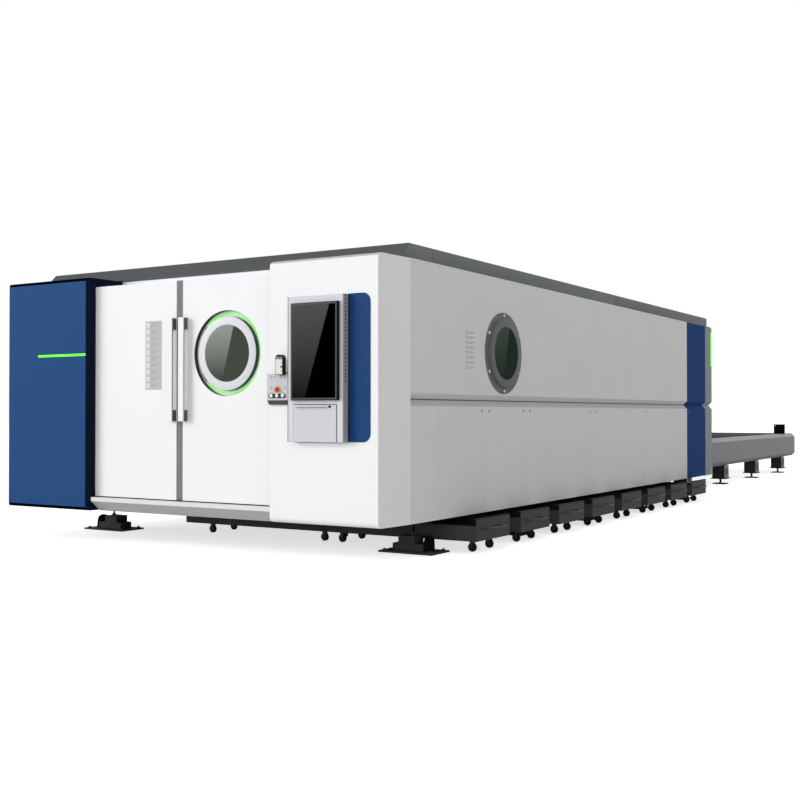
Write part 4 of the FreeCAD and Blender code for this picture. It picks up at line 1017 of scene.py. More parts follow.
@dataclass
class Doors:
    """Right door with its round window, both pulls' fronts and the left door's bare plate."""

    face: float = 0.087
    thick: float = 0.050
    low: float = 0.405
    high: float = 2.225
    inner: float = 0.0355
    outer: float = 1.006
    port: Point = (0.505, 1.608)
    channel: float = 0.345
    channel_deep: float = 0.039
    bezel: float = 0.299
    bore: float = 0.215
    glass: float = 0.229
    proud: float = 0.002
    ring: Span = (0.3182, 0.3238)
    lit_half: float = 136.0
    handle_x: Span = (0.036, 0.088)
    handle_z: Span = (1.061, 1.911)
    handle_face: float = 0.030
    gap_left: float = -0.979
    gap_z: Span = (0.4021, 0.4105)
    plate_x: Span = (-0.385, -0.200)
    plate_z: Span = (1.324, 1.900)
    plate_rows: int = 10

    def build(self) -> None:
        """Makes the pieces of both doors."""
        self.right_leaf()
        self.window()
        self.pulls()
        self.plate()
        self.foot_gap()

    def right_leaf(self) -> None:
        """Right door with a deep round channel for the light of its window."""
        leaf = Form("right_door_leaf", FRONT_WHITE)
        edge = rectangle((self.inner, self.outer), (self.low, self.high))
        floor = back(self.face + self.channel_deep)
        rear = back(self.face + self.thick)
        leaf.plate(edge, Facing.REAR, (back(self.face), floor), holes=[circle(self.port, self.channel, 128)])
        leaf.plate(edge, Facing.REAR, (floor, rear), holes=[circle(self.port, self.bore)])
        leaf.finish("right_door", ["right_door"], edge=0.0012)
        # the channel's walls in painted shade
        wall_shade = Form("channel_lining", CHANNEL_SHADE)
        mouth = back(self.face + 0.002)
        profile = [
            (self.channel + 0.001, mouth),
            (self.channel - 0.001, mouth),
            (self.channel - 0.001, floor - 0.0003),
            (self.channel + 0.001, floor - 0.0003),
        ]
        wall_shade.turned(profile, (self.port[0], 0.0, self.port[1]), Facing.REAR, sides=128)
        wall_shade.finish("right_door")

    def window(self) -> None:
        """Flush bezel with sides in painted shade, thin ring of light and dark glass with a painted
        reflection.
        """
        centre = (self.port[0], 0.0, self.port[1])
        floor = back(self.face + self.channel_deep)
        front = back(self.face - self.proud)
        bezel = Form("window_bezel", RING_LAVENDER)
        seat = front + 0.009
        profile = [
            (self.bezel - 0.001, floor),
            (self.bezel - 0.001, front + 0.003),
            (self.bezel - 0.002, front + 0.001),
            (self.bezel - 0.004, front),
            (self.glass + 0.0015, front),
            (self.glass + 0.0004, front + 0.001),
            (self.glass + 0.0003, seat),
            (self.bore, seat),
            (self.bore, floor),
        ]
        bezel.turned(profile, centre, Facing.REAR, sides=128)
        bezel.finish("right_door", ["door_window_bezel"])
        # the bezel's outer wall in painted shade
        sides = Form("bezel_sides", CHANNEL_SHADE)
        profile = [
            (self.bezel - 0.002, front + 0.0032),
            (self.bezel, front + 0.0040),
            (self.bezel, floor - 0.0003),
            (self.bezel - 0.002, floor - 0.0003),
        ]
        sides.turned(profile, centre, Facing.REAR, sides=128)
        sides.finish("right_door")
        light = Form("window_light", LIGHT_GREEN, CHANNEL_SHADE)
        low, high = self.ring
        crown = floor - 0.011
        profile = [
            (low, floor),
            (low, crown + 0.001),
            (low + 0.001, crown),
            (high - 0.001, crown),
            (high, crown + 0.001),
            (high, floor),
        ]
        lit = self.lit_half
        light.turned(profile, centre, Facing.REAR, sides=128, arc=(-lit, lit))
        light.turned(profile, centre, Facing.REAR, slot=1, sides=128, arc=(lit, 360.0 - lit))
        light.finish("right_door", ["door_window_light"])
        glass = Form("window_glass", DOOR_GLASS)
        pane = front + 0.001
        glass.turned(pane_profile(self.glass, pane, seat), centre, Facing.REAR, sides=96)
        glass.finish("right_door", ["door_window_glass"])

    def pulls(self) -> None:
        """White fronts on both pulls."""
        for side, sign in (("right", 1), ("left", -1)):
            x = tuple(sorted(sign * v for v in self.handle_x))
            cover = Form(f"{side}_pull_front", FRONT_WHITE)
            wide = (x[0] - 0.0006, x[1] + 0.0006)
            deep = (back(self.handle_face - 0.0012), back(self.handle_face + 0.010))
            cover.box(wide, deep, self.handle_z)
            cover.finish(f"{side}_door", edge=0.0015)

    def foot_gap(self) -> None:
        """Dark gap between the doors and the sill, as a strip on the sill."""
        gap = Form("sill_gap", DARK_HOLE)
        deep = (back(self.face - 0.0006), back(self.face + 0.004))
        gap.box((self.gap_left, self.outer), deep, self.gap_z)
        gap.finish("machine")

    def plate(self) -> None:
        """Bare grey plate on the left door with rows of plain fields."""
        x, z = self.plate_x, self.plate_z
        face = back(self.face)
        plate = Form("left_door_plate", FIELD_GREY)
        plate.plate(rounded(x, z, [0.004] * 4), Facing.REAR, (face - 0.0012, face + 0.001))
        plate.finish("left_door")
        pitch = (z[1] - z[0] - 0.012) / self.plate_rows
        squares = Form("plate_squares", FIELD_PALE)
        lines = Form("plate_lines", FIELD_LINE)
        for i in range(self.plate_rows):
            middle = z[1] - 0.006 - pitch * (i + 0.5)
            squares.box((x[0] + 0.008, x[0] + 0.050), (face - 0.0016, face - 0.001), around(middle, 0.042))
            for k, wide in enumerate((0.085, 0.06, 0.04)):
                level = middle + 0.012 - 0.012 * k
                span = (x[0] + 0.065, x[0] + 0.065 + wide)
                lines.box(span, (face - 0.0015, face - 0.001), around(level, 0.003))
        squares.finish("left_door")
        lines.finish("left_door")


@dataclass
class SideWindow:
    """Flanged ring with six screws round the dark glass in the right side."""

    middle: Point = (1.981, 1.650)
    wall: float = 2.030
    flange: float = 0.355
    flange_thick: float = 0.008
    ring: float = 0.301
    bore: float = 0.216
    glass: float = 0.231
    proud: float = 0.032
    screws: float = 0.330

    def build(self, repeater: Repeater) -> None:
        """Makes the ring, its screws and the glass."""
        centre = (0.0, back(self.middle[0]), self.middle[1])
        wall, top = self.wall, self.wall + self.proud
        seat = top - 0.009
        ring = Form("side_ring", RING_GREY)
        profile = [
            (self.flange, wall),
            (self.flange, wall + self.flange_thick - 0.002),
            (self.flange - 0.002, wall + self.flange_thick),
            (self.ring + 0.003, wall + self.flange_thick),
            (self.ring, wall + self.flange_thick + 0.003),
            (self.ring, top - 0.004),
            (self.ring - 0.0012, top - 0.0012),
            (self.ring - 0.004, top),
            (self.glass + 0.0015, top),
            (self.glass + 0.0004, top - 0.001),
            (self.glass + 0.0003, seat),
            (self.bore, seat),
            (self.bore, wall),
        ]
        ring.turned(profile, centre, Facing.RIGHT, sides=128)
        ring.finish("machine", ["side_window_ring"])
        pane = Form("side_glass", SIDE_GLASS)
        face = top - 0.001
        pane.turned(pane_profile(self.glass, face, seat), centre, Facing.RIGHT, sides=96)
        pane.finish("machine", ["side_window_glass"])
        places = []
        for i in range(6):
            angle = math.radians(30 + 60 * i)
            y = centre[1] + self.screws * math.cos(angle)
            z = centre[2] + self.screws * math.sin(angle)
            places.append((wall + self.flange_thick - 0.0005, y, z))
        heads = pan_head("side_ring_screws", 0.0125, 0.006, Facing.RIGHT)
        repeater.set_out(heads, places, SCREW_WHITE, "machine")


@dataclass
class Walls:
    """Screws and plain fields on the cabin's walls."""

    face: float = 2.030
    row: float = 1.147
    seams: tuple[float, ...] = (1.640, 2.461, 4.070, 5.700)
    offset: float = 0.070
    last_seam: float = 7.310
    trim_ends: Span = (7.388, 8.066)
    valley: Point = (1.980, 1.236)
    panel_front: float = 0.407
    plate_depth: Span = (1.273, 1.460)
    plate_z: Span = (1.476, 1.823)
    plate_rows: int = 8
    plate_pitch: float = 0.041

    def build(self, repeater: Repeater) -> None:
        """Sets out the screws of both sides and the small plate by the side window."""
        depths = [seam + shift for seam in self.seams for shift in (-self.offset, self.offset)]
        depths.append(self.last_seam - self.offset)
        for side, sign in (("right", 1.0), ("left", -1.0)):
            self.screws(repeater, f"{side}_wall_screws", sign, depths, SCREW_DARK)
            self.screws(repeater, f"{side}_trim_screws", sign, self.trim_ends, SCREW_PALE)
            # dark line in the valley of the waist groove: painted shade of the crease
            seam = Form(f"{side}_waist_seam", CONSOLE_LINE)
            x = sorted((sign * (self.valley[0] - 0.001), sign * (self.valley[0] + 0.006)))
            level = (self.valley[1] - 0.007, self.valley[1])
            seam.box((x[0], x[1]), (back(self.panel_front), back(self.last_seam - 0.002)), level)
            seam.finish("machine")
        self.small_plate()

    def screws(
        self, repeater: Repeater, name: str, sign: float, depths: Sequence[float], finish: Finish
    ) -> None:
        """Row of cup-headed screws along one side.

        Args:
            repeater: Tree that sets them out.
            name: Name of the row.
            sign: 1 for the right side, -1 for the left.
            depths: Depth of each screw.
            finish: Finish of the heads.
        """
        cup = Form(name)
        profile = [
            (0.0, -0.0012),
            (0.0125, -0.0012),
            (0.0125, -0.0002),
            (0.009, 0.0006),
            (0.006, 0.0004),
            (0.0, 0.0004),
        ]
        cup.turned([(r, sign * h) for r, h in profile], (0, 0, 0), Facing.RIGHT, sides=14)
        places = [(sign * self.face, back(depth), self.row) for depth in depths]
        repeater.set_out(cup, places, finish, "machine")

    def small_plate(self) -> None:
        """Bare plate with plain fields on the right wall, in front of the window."""
        y, z = (back(self.plate_depth[0]), back(self.plate_depth[1])), self.plate_z
        plate = Form("right_wall_plate", FIELD_PALE, FIELD_LINE, FIELD_GREY)
        plate.plate(rounded(y, z, [0.003] * 4), Facing.RIGHT, (self.face - 0.001, self.face + 0.0008))
        raised = (self.face, self.face + 0.0012)
        for i in range(self.plate_rows):
            level = z[1] - 0.03 - i * self.plate_pitch
            plate.box(raised, (y[0] + 0.010, y[0] + 0.045), around(level, 0.026), slot=2)
            plate.box(raised, (y[0] + 0.060, y[1] - 0.020), around(level + 0.006, 0.004), slot=1)
            plate.box(raised, (y[0] + 0.060, y[1] - 0.045), around(level - 0.006, 0.004), slot=1)
        plate.finish("machine")


@dataclass
class Console:
    """Painted shade behind the square holes, seams, painted shade lines and keys of the operator console."""

    right: float = 1.737
    high: float = 2.004
    proud: float = 0.066
    screen_x: Span = (1.279, 1.708)
    screen_z: Span = (1.223, 1.950)
    screen_face: float = 0.098
    lock: Point = (1.623, 1.1753)
    flap_face: float = 0.072
    keyboard: Point = (1.484, 0.9553)
    key: float = 0.0155
    key_pitch: float = 0.0185
    key_rows: int = 7
    key_columns: int = 17
    vent_low: float = 1.345
    shadow_x: Span = (1.7372, 1.7520)
    shadow_z: Span = (0.917, 2.006)
    left_shade_line: Span = (1.2316, 1.2362)
    flap_seams: tuple[Span, ...] = ((1.2835, 1.2868), (1.6814, 1.6846))
    flap_z: Span = (0.917, 1.190)
    lip_x: Span = (1.330, 1.590)
    lip_z: Span = (1.1682, 1.1724)

    def build(self, repeater: Repeater) -> None:
        """Makes the console's small pieces."""
        # dark plate behind the vent holes: painted shade of the console's inside
        hole_shade = Form("strip_backing", DARK_HOLE)
        side = (self.right - 0.001, self.right + 0.0006)
        hole_shade.box(side, around(back(-0.036), 0.020), (self.vent_low, self.high - 0.004))
        hole_shade.finish("machine")
        edge = Form("trim_shadow_line", DARK_HOLE)
        edge.box(self.shadow_x, (back(-0.0048), back(-0.001)), self.shadow_z)
        edge.finish("machine")
        self.seams()
        rim = Form("screen_rim", SCREEN_BEZEL)
        (left, right), (low, high) = self.screen_x, self.screen_z
        outer, inner = (
            rounded((left + inset, right - inset), (low + inset, high - inset), [0.008] * 4, 4)
            for inset in (0.0055, 0.0185)
        )
        deep = (back(-self.screen_face - 0.001), back(-self.screen_face + 0.002))
        rim.plate(outer, Facing.REAR, deep, holes=[inner])
        rim.finish("machine")
        self.knob()
        cap = Form("keyboard_keys")
        cap.box(around(0, self.key), (-0.001, 0.003), around(0, self.key))
        places = []
        top = back(-self.flap_face + 0.018 + 0.018)
        for row in range(self.key_rows):
            for column in range(self.key_columns):
                x_key = self.keyboard[0] + (column - self.key_columns // 2) * self.key_pitch
                places.append((x_key, top, self.keyboard[1] + 0.030 + row * self.key_pitch))
        repeater.set_out(cap, places, CONSOLE_LINE, "keyboard_flap")

    def seams(self) -> None:
        """Painted shade line at the console's left edge, dark seams beside the flap, and a painted shadow
        under the lip's edge.
        """
        lines = Form("console_seams", CONSOLE_LINE)
        depth = (back(-self.proud - 0.0007), back(-self.proud + 0.001))
        # painted shade line along the console's left edge
        lines.box(self.left_shade_line, depth, (0.913, self.high - 0.002))
        for seam in self.flap_seams:
            lines.box(seam, depth, self.flap_z)
        lines.finish("machine")
        # painted shadow under the flap's lip
        lip = Form("flap_lip_edge", CONSOLE_LINE)
        lip.box(self.lip_x, (back(-0.0864), back(-0.0842)), self.lip_z)
        lip.finish("keyboard_flap")

    def knob(self) -> None:
        """Round lock of the flap with a turning slot."""
        start = back(-self.flap_face + 0.008)
        knob = Form("lock_knob", DARK_HOLE, CONSOLE_LINE)
        profile = [(0.0, 0.0), (0.009, 0.0), (0.009, -0.014), (0.0075, -0.016), (0.0, -0.016)]
        knob.turned(profile, (self.lock[0], start, self.lock[1]), Facing.REAR, sides=24)
        deep = (start - 0.0168, start - 0.0150)
        knob.box(around(self.lock[0], 0.011), deep, around(self.lock[1], 0.002), slot=1)
        knob.finish("flap_lock", ["flap_lock"])


@dataclass
class ControlBox:
    """Small box with the stop button, three push buttons and a handset held in front."""

    x: Span = (1.017, 1.231)
    low: float = 1.193
    step: float = 1.226
    high: float = 1.428
    proud: float = 0.045
    foot: float = 0.020
    stop: Point = (1.122, 1.309)
    pill: Point = (1.117, 1.261)
    pill_long: float = 0.164
    pill_tall: float = 0.038
    pitch: float = 0.054
    handset_x: Span = (1.128, 1.199)
    handset_z: Span = (1.418, 1.571)
    handset_thick: float = 0.041
    keys: tuple[int, int] = (4, 8)
    marks: tuple[Place, ...] = (
        (1.060, 1.410, 0.020),
        (1.060, 1.398, 0.020),
        (1.095, 1.404, 0.028),
        (1.150, 1.410, 0.026),
        (1.150, 1.398, 0.020),
        (1.190, 1.410, 0.020),
        (1.190, 1.398, 0.020),
        (1.060, 1.326, 0.022),
        (1.060, 1.314, 0.022),
        (1.190, 1.326, 0.022),
        (1.190, 1.314, 0.022),
    )

    def build(self, repeater: Repeater) -> None:
        """Makes the box and everything on it."""
        self.housing(repeater)
        self.buttons()
        self.handset(repeater)

    def housing(self, repeater: Repeater) -> None:
        """Light grey box over a dark tapered base, with four small screws."""
        front = back(-self.proud)
        box = Form("control_housing", BOX_GREY, BOX_BASE)
        hole = circle(self.stop, 0.013, 24)
        slot = rounded(around(self.pill[0], 0.134), around(self.pill[1], 0.026), [0.012] * 4, 4)
        edge = rectangle(self.x, (self.step, self.high))
        box.plate(edge, Facing.REAR, (front, front + 0.012), holes=[hole, slot])
        box.box(self.x, (front + 0.012, back(0.0)), (self.step, self.high))
        base = [
            (back(0.0), self.low),
            (back(-self.foot), self.low),
            (front, self.step - 0.0004),
            (back(0.0), self.step - 0.0004),
        ]
        box.plate(base, Facing.RIGHT, (self.x[0], self.x[1]), slot=1)
        box.finish("machine", ["control_box"], edge=0.001)
        marks = Form("control_marks", MARK_GREY)
        for x, z, wide in self.marks:
            marks.box(around(x, wide), (front - 0.0005, front + 0.001), around(z, 0.005))
        marks.finish("machine")
        inset = 0.009
        corners = [
            (x, front, z)
            for x in (self.x[0] + inset, self.x[1] - inset)
            for z in (self.step + inset, self.high - inset)
        ]
        screws = pan_head("control_box_screws", 0.0032, 0.0018, Facing.REAR, sign=-1.0, sides=10)
        repeater.set_out(screws, corners, SCREW_STEEL, "machine")

    def buttons(self) -> None:
        """Black plate, white caps, yellow collar and red mushroom."""
        front = back(-self.proud)
        plate = Form("button_backplate", PLATE_BLACK)
        wide, tall = around(self.pill[0], self.pill_long), around(self.pill[1], self.pill_tall)
        outline = rounded(wide, tall, [self.pill_tall / 2] * 4, 10)
        spots = [(self.pill[0] + i * self.pitch, self.pill[1]) for i in (-1, 0, 1)]
        bores = [circle(spot, 0.0119, 28) for spot in spots]
        plate.plate(outline, Facing.REAR, (front - 0.004, front), holes=bores)
        plate.finish("machine", ["button_plate"], edge=0.0006)
        for i, spot in enumerate(spots, start=1):
            cap = Form(f"white_button_{i}", BUTTON_WHITE)
            top = front - 0.010
            profile = [
                (0.0, top),
                (0.0115, top),
                (0.0135, top + 0.0008),
                (0.0142, top + 0.0020),
                (0.0142, top + 0.0026),
                (0.0114, top + 0.0028),
                (0.0114, front + 0.004),
                (0.0, front + 0.004),
            ]
            cap.turned(profile, (spot[0], 0.0, spot[1]), Facing.REAR, sides=32)
            cap.finish(f"push_button_{i}", [f"push_button_{i}"])
        centre = (self.stop[0], 0.0, self.stop[1])
        collar = Form("yellow_collar", COLLAR_YELLOW)
        profile = [
            (0.0094, front),
            (0.024, front),
            (0.0238, front - 0.003),
            (0.0225, front - 0.0055),
            (0.0205, front - 0.006),
            (0.0094, front - 0.006),
        ]
        collar.turned(profile, centre, Facing.REAR, sides=40)
        collar.finish("machine", ["stop_collar"])
        cap = Form("red_mushroom", STOP_RED)
        base, top = front - 0.0115, front - 0.0235
        profile = [
            (0.0, front + 0.004),
            (0.0088, front + 0.004),
            (0.0088, base),
            (0.0165, base),
            (0.0187, base - 0.002),
            (0.019, base - 0.006),
            (0.0178, base - 0.0095),
            (0.0145, top + 0.0008),
            (0.008, top),
            (0.0, top),
        ]
        cap.turned(profile, centre, Facing.REAR, sides=40)
        cap.finish("stop_button", ["stop_button"])

    def handset(self, repeater: Repeater) -> None:
        """Dark handset with an arched top, its bracket and four by eight keys."""
        rear = back(-self.proud)
        front = rear - self.handset_thick
        body = Form("handset_body", HANDSET_DARK, BOX_GREY)
        outline = rounded(self.handset_x, self.handset_z, [0.002, 0.002, 0.030, 0.030], 10)
        body.plate(outline, Facing.REAR, (front, rear))
        middle = sum(self.handset_x) / 2
        body.box(around(middle, 0.035), (rear, back(0.0)), (self.high, self.high + 0.017), slot=1)
        body.finish("machine", ["handset"], edge=0.002)
        pad = Form("handset_keypad", FIELD_GREY)
        x_pad = (self.handset_x[0] + 0.004, self.handset_x[1] - 0.004)
        z_pad = (self.handset_z[0] + 0.004, self.handset_z[1] - 0.020)
        pad.plate(rounded(x_pad, z_pad, [0.002] * 4, 3), Facing.REAR, (front - 0.0006, front + 0.001))
        pad.finish("machine")
        columns, rows = self.keys
        pitch_x, pitch_z = (x_pad[1] - x_pad[0]) / columns, (z_pad[1] - z_pad[0]) / rows
        coloured = {
            (0, 7): KEY_TEAL,
            (1, 7): KEY_ORANGE,
            (2, 7): KEY_BLUE,
            (3, 7): KEY_RED,
            (3, 5): KEY_YELLOW,
            (3, 3): KEY_BLUE,
            (3, 1): KEY_YELLOW,
        }
        groups: dict[str, tuple[Finish, list[Place]]] = {}
        for column in range(columns):
            for row in range(rows):
                finish = coloured.get((column, row), KEY_WHITE)
                x_key = x_pad[0] + pitch_x * (column + 0.5)
                z_key = z_pad[0] + pitch_z * (row + 0.5)
                groups.setdefault(finish.name, (finish, []))[1].append((x_key, front - 0.0006, z_key))
        for name, (finish, places) in groups.items():
            key = Form(f"handset_{name}")
            key.box(around(0, pitch_x * 0.84), (-0.0012, 0.0004), around(0, pitch_z * 0.82))
            repeater.set_out(key, places, finish, "machine")


@dataclass
class Carts:
    """Rows of two coupled sheet trays on casters, with a bent pull on the outer plate."""

    rows: int = 8
    pitch: float = 0.825
    wide: float = 0.604
    outer_x: Span = (0.730, 2.210)
    inner_x: Span = (-0.865, 0.720)
    low: float = 0.100
    high: float = 0.225
    sheet: float = 0.004
    plate_high: float = 0.280
    caster_x: tuple[float, ...] = (2.100, 0.820, 0.630, -0.665)
    caster_y: tuple[float, ...] = (0.150, 0.454)

    def build(self) -> None:
        """Makes every cart."""
        for row in range(self.rows):
            start = -self.rows / 2 * self.pitch + (self.pitch - self.wide) / 2 + row * self.pitch
            self.cart(row + 1, start)

    def cart(self, number: int, start: float) -> None:
        """One row of trays.

        Args:
            number: Number of the row from the front.
            start: Lowest y of the row.
        """
        form = Form(f"scrap_cart_{number}", CART_GREY, WHEEL_BLACK, SCREW_DARK)
        for span in (self.outer_x, self.inner_x):
            self.tray(form, span, start)
        form.box(around(0.725, 0.090), around(start + self.wide / 2, 0.040), (self.low - 0.006, self.low))
        face = self.outer_x[1]
        form.box((face, face + 0.006), (start, start + self.wide), (self.low, self.plate_high))
        fold = (self.plate_high - 0.004, self.plate_high)
        form.box((face - 0.018, face + 0.006), (start, start + self.wide), fold)
        level, reach = 0.203, face + 0.006 + 0.084 - 0.008
        near, far = start + 0.078, start + 0.382
        points = [
            (face + 0.004, near, level),
            (reach - 0.012, near, level),
            (reach - 0.003, near + 0.003, level),
            (reach, near + 0.012, level),
            (reach, far - 0.012, level),
            (reach - 0.003, far - 0.003, level),
            (reach - 0.012, far, level),
            (face + 0.004, far, level),
        ]
        form.bent_rod(points, 0.0072, slot=2, sides=8)
        for x in self.caster_x:
            for y in self.caster_y:
                self.caster(form, x, start + y)
        form.finish(f"cart_{number}", [f"cart_{number}"])

    def tray(self, form: Form, span: Span, start: float) -> None:
        """Open tray of thin sheet.

        Args:
            form: Form that receives it.
            span: Its x from end to end.
            start: Lowest y of the row.
        """
        (low, high), end = span, start + self.wide
        form.box((low, high), (start, end), (self.low, self.low + self.sheet))
        wall = (self.low + self.sheet, self.high)
        form.box((low, low + self.sheet), (start, end), wall)
        form.box((high - self.sheet, high), (start, end), wall)
        inside = (low + self.sheet, high - self.sheet)
        form.box(inside, (start, start + self.sheet), wall)
        form.box(inside, (end - self.sheet, end), wall)

    def caster(self, form: Form, x: float, y: float) -> None:
        """Fork, wheel and axle of one caster.

        Args:
            form: Form that receives it.
            x: Its x.
            y: Its y.
        """
        radius = 0.0375
        form.box(around(x, 0.060), around(y, 0.052), (0.0945, 0.0998), slot=2)
        crown = [(0.0, 0.086), (0.020, 0.086), (0.022, 0.0945), (0.0, 0.0945)]
        form.turned(crown, (x, y, 0.0), Facing.UP, slot=2, sides=12)
        for side in (-1, 1):
            blade = [(x - 0.018, 0.087), (x - 0.009, 0.028), (x + 0.009, 0.028), (x + 0.018, 0.087)]
            cheek = y + side * 0.0165
            form.plate(blade, Facing.REAR, (cheek - 0.0015, cheek + 0.0015), slot=2)
        wheel = [
            (0.0, -0.012),
            (0.024, -0.012),
            (0.026, -0.013),
            (0.034, -0.012),
            (radius, -0.008),
            (radius, 0.008),
            (0.034, 0.012),
            (0.026, 0.013),
            (0.024, 0.012),
            (0.0, 0.012),
        ]
        form.turned(wheel, (x, y, radius), Facing.REAR, slot=1, sides=20)
        form.rod((x, y - 0.0195, radius), (x, y + 0.0195, radius), 0.006, slot=2, sides=8)


@dataclass
class Feet:
    """Stepped blocks, bolts and nuts of the bed's feet, and a dark plate of painted shade under the bed's
    front.
    """

    rows: int = 5
    pitch: float = 1.650
    x: float = 1.700
    plate_top: float = 0.015
    block_top: float = 0.136
    tier: float = 0.073
    plate: Point = (0.500, 0.300)
    block_wide: float = 0.140
    low_step: Span = (-0.160, 0.130)
    high_step: Span = (-0.105, 0.050)
    bolt: Point = (0.21, 0.115)
    bed_low: float = 0.2835
    bed_shade_x: Span = (-0.62, 1.90)
    bed_shade_low: float = 0.262

    def build(self, repeater: Repeater) -> None:
        """Sets out the small steel pieces on every foot."""
        lines = [(row - self.rows // 2) * self.pitch for row in range(self.rows)]
        spots = [(sign * self.x, y) for y in lines for sign in (-1, 1)]
        places = [(x, y, z) for x, y in spots for z in (self.block_top, self.bed_low)]
        repeater.set_out(hex_nut("jack_nuts", 0.0102, 0.020), places, SCREW_DARK, "machine")
        bolt = Form("foot_bolts")
        profile = [(0.0, 0.0), (0.016, 0.0), (0.016, 0.012), (0.007, 0.014), (0.0, 0.022)]
        bolt.turned(profile, (0, 0, 0), Facing.UP, sides=6)
        shifts = [(i * self.bolt[0], k * self.bolt[1]) for i in (-1, 1) for k in (-1, 1)]
        places = [(x + dx, y + dy, self.plate_top - 0.0004) for x, y in spots for dx, dy in shifts]
        repeater.set_out(bolt, places, SCREW_DARK, "machine")
        self.blocks(spots)
        self.bed_shade()

    def blocks(self, spots: Sequence[Point]) -> None:
        """Anchor plates with stepped blocks and a round-topped lug on the outer end.

        Args:
            spots: Places of the feet.
        """
        form = Form("foot_blocks", FOOT_GREY, FOOT_BLACK)
        for x, y in spots:
            out = math.copysign(1.0, x)
            form.box(around(x, self.plate[0]), around(y, self.plate[1]), (0.0, self.plate_top))
            low, high = (self.plate_top, self.tier), (self.tier, self.block_top)
            for (near, far), level in ((self.low_step, low), (self.high_step, high)):
                span = sorted((x + out * near, x + out * far))
                form.box((span[0], span[1]), around(y, self.block_wide), level)
            arch = [(y - self.block_wide / 2, self.plate_top)]
            for i in range(13):
                angle = math.radians(180 - 15 * i)
                arch.append((y + 0.066 * math.cos(angle), 0.080 + 0.058 * math.sin(angle)))
            arch.append((y + self.block_wide / 2, self.plate_top))
            lug = sorted((x + out * self.low_step[1], x + out * 0.158))
            form.plate(arch, Facing.RIGHT, (lug[0], lug[1]), slot=1)
        form.finish("machine", ["bed_feet"])

    def bed_shade(self) -> None:
        """Dark plate along the lower edge of the bed's front, as painted shade under the bed."""
        bed_shade = Form("bed_apron", DARK_HOLE)
        bed_shade.box(self.bed_shade_x, (back(0.300), back(0.306)), (self.bed_shade_low, self.bed_low))
        bed_shade.finish("machine")


@dataclass
class Slats:
    """Rows of toothed slats of both pallets."""

    count: int = 50
    pitch: float = 0.124
    half: float = 1.310
    thick: float = 0.006
    tall: float = 0.080
    tooth: float = 0.024
    teeth: int = 44
    middles: tuple[tuple[str, float, float], ...] = (("upper", 12.250, 0.665), ("lower", 4.150, 0.465))

    def build(self, repeater: Repeater) -> None:
        """Sets out both rows."""
        for level, middle, low in self.middles:
            slat = Form(f"{level}_toothed_slats")
            step = 2 * self.half / self.teeth
            top = self.tall
            outline: list[Point] = [(-self.half, 0.0), (self.half, 0.0), (self.half, top - self.tooth)]
            for i in range(self.teeth):
                right = self.half - i * step
                outline += [(right - step * share, top) for share in (0.42, 0.58)]
                outline.append((right - step, top - self.tooth))
            slat.plate(outline, Facing.REAR, (-self.thick / 2, self.thick / 2))
            first = middle - (self.count - 1) / 2 * self.pitch
            places = [(0.0, back(first + i * self.pitch), low) for i in range(self.count)]
            repeater.set_out(slat, places, SLAT_STEEL, f"{level}_pallet", [f"{level}_slats"])


@dataclass
class ExchangeTable:
    """Black covers and nuts of the exchange table's legs, its rollers and the box's lamp."""

    leg_x: float = 1.440
    legs: tuple[float, ...] = (9.030, 11.0067, 12.9833, 14.960)
    wide: float = 0.192
    deep: float = 0.240
    low: float = 0.085
    top: float = 0.300
    lamp: Place = (1.395, 14.985, 0.885)
    roller: Point = (1.397, 0.350)

    def build(self, repeater: Repeater) -> None:
        """Makes the black covers of the legs, nuts, rollers and the box's lamp."""
        covers = Form("leg_covers", LEG_BLACK)
        for depth in self.legs:
            for sign in (-1, 1):
                x = around(sign * self.leg_x, self.wide + 0.004)
                for face in (-1, 1):
                    plane = back(depth) + face * (self.deep / 2 + 0.002)
                    covers.box(x, around(plane, 0.005), (self.low + 0.012, self.top - 0.001))
                core = around(sign * self.leg_x, self.wide - 0.016)
                covers.box(core, around(back(depth), self.deep - 0.030), (self.low + 0.013, self.top - 0.004))
                foot_x = around(sign * self.leg_x, self.wide + 0.042)
                foot_y = around(back(depth), self.deep + 0.042)
                covers.box(foot_x, foot_y, (self.low - 0.001, self.low + 0.0125))
        covers.finish("machine", edge=0.0015)
        places = [(s * self.leg_x, back(d), z) for d in self.legs for s in (-1, 1) for z in (0.0138, 0.0685)]
        repeater.set_out(hex_nut("leg_nuts", 0.012, 0.026), places, SCREW_STEEL, "machine")
        dot = Form("box_lamp", BUTTON_WHITE)
        x, depth, z = self.lamp
        profile = [(0.0, 0.0), (0.008, 0.0), (0.006, -0.004), (0.0, -0.005)]
        dot.turned(profile, (x, back(depth), z), Facing.REAR, sides=16)
        dot.finish("machine")
        self.rollers(repeater)

    def rollers(self, repeater: Repeater) -> None:
        """Flanged rollers of the drive chains, under the lower ledges."""
        roller = Form("ledge_rollers")
        profile = [
            (0.0, -0.020),
            (0.030, -0.020),
            (0.030, 0.010),
            (0.036, 0.012),
            (0.036, 0.020),
            (0.0, 0.020),
        ]
        roller.turned(profile, (0, 0, 0), Facing.RIGHT, sides=14)
        quarter = (self.legs[1] - self.legs[0]) / 4
        depths = [leg + quarter * (k + 0.5) for leg in self.legs[:-1] for k in range(4)]
        x, z = self.roller
        places = [(sign * x, back(depth), z) for depth in depths for sign in (-1, 1)]
        repeater.set_out(roller, places, SCREW_STEEL, "machine")


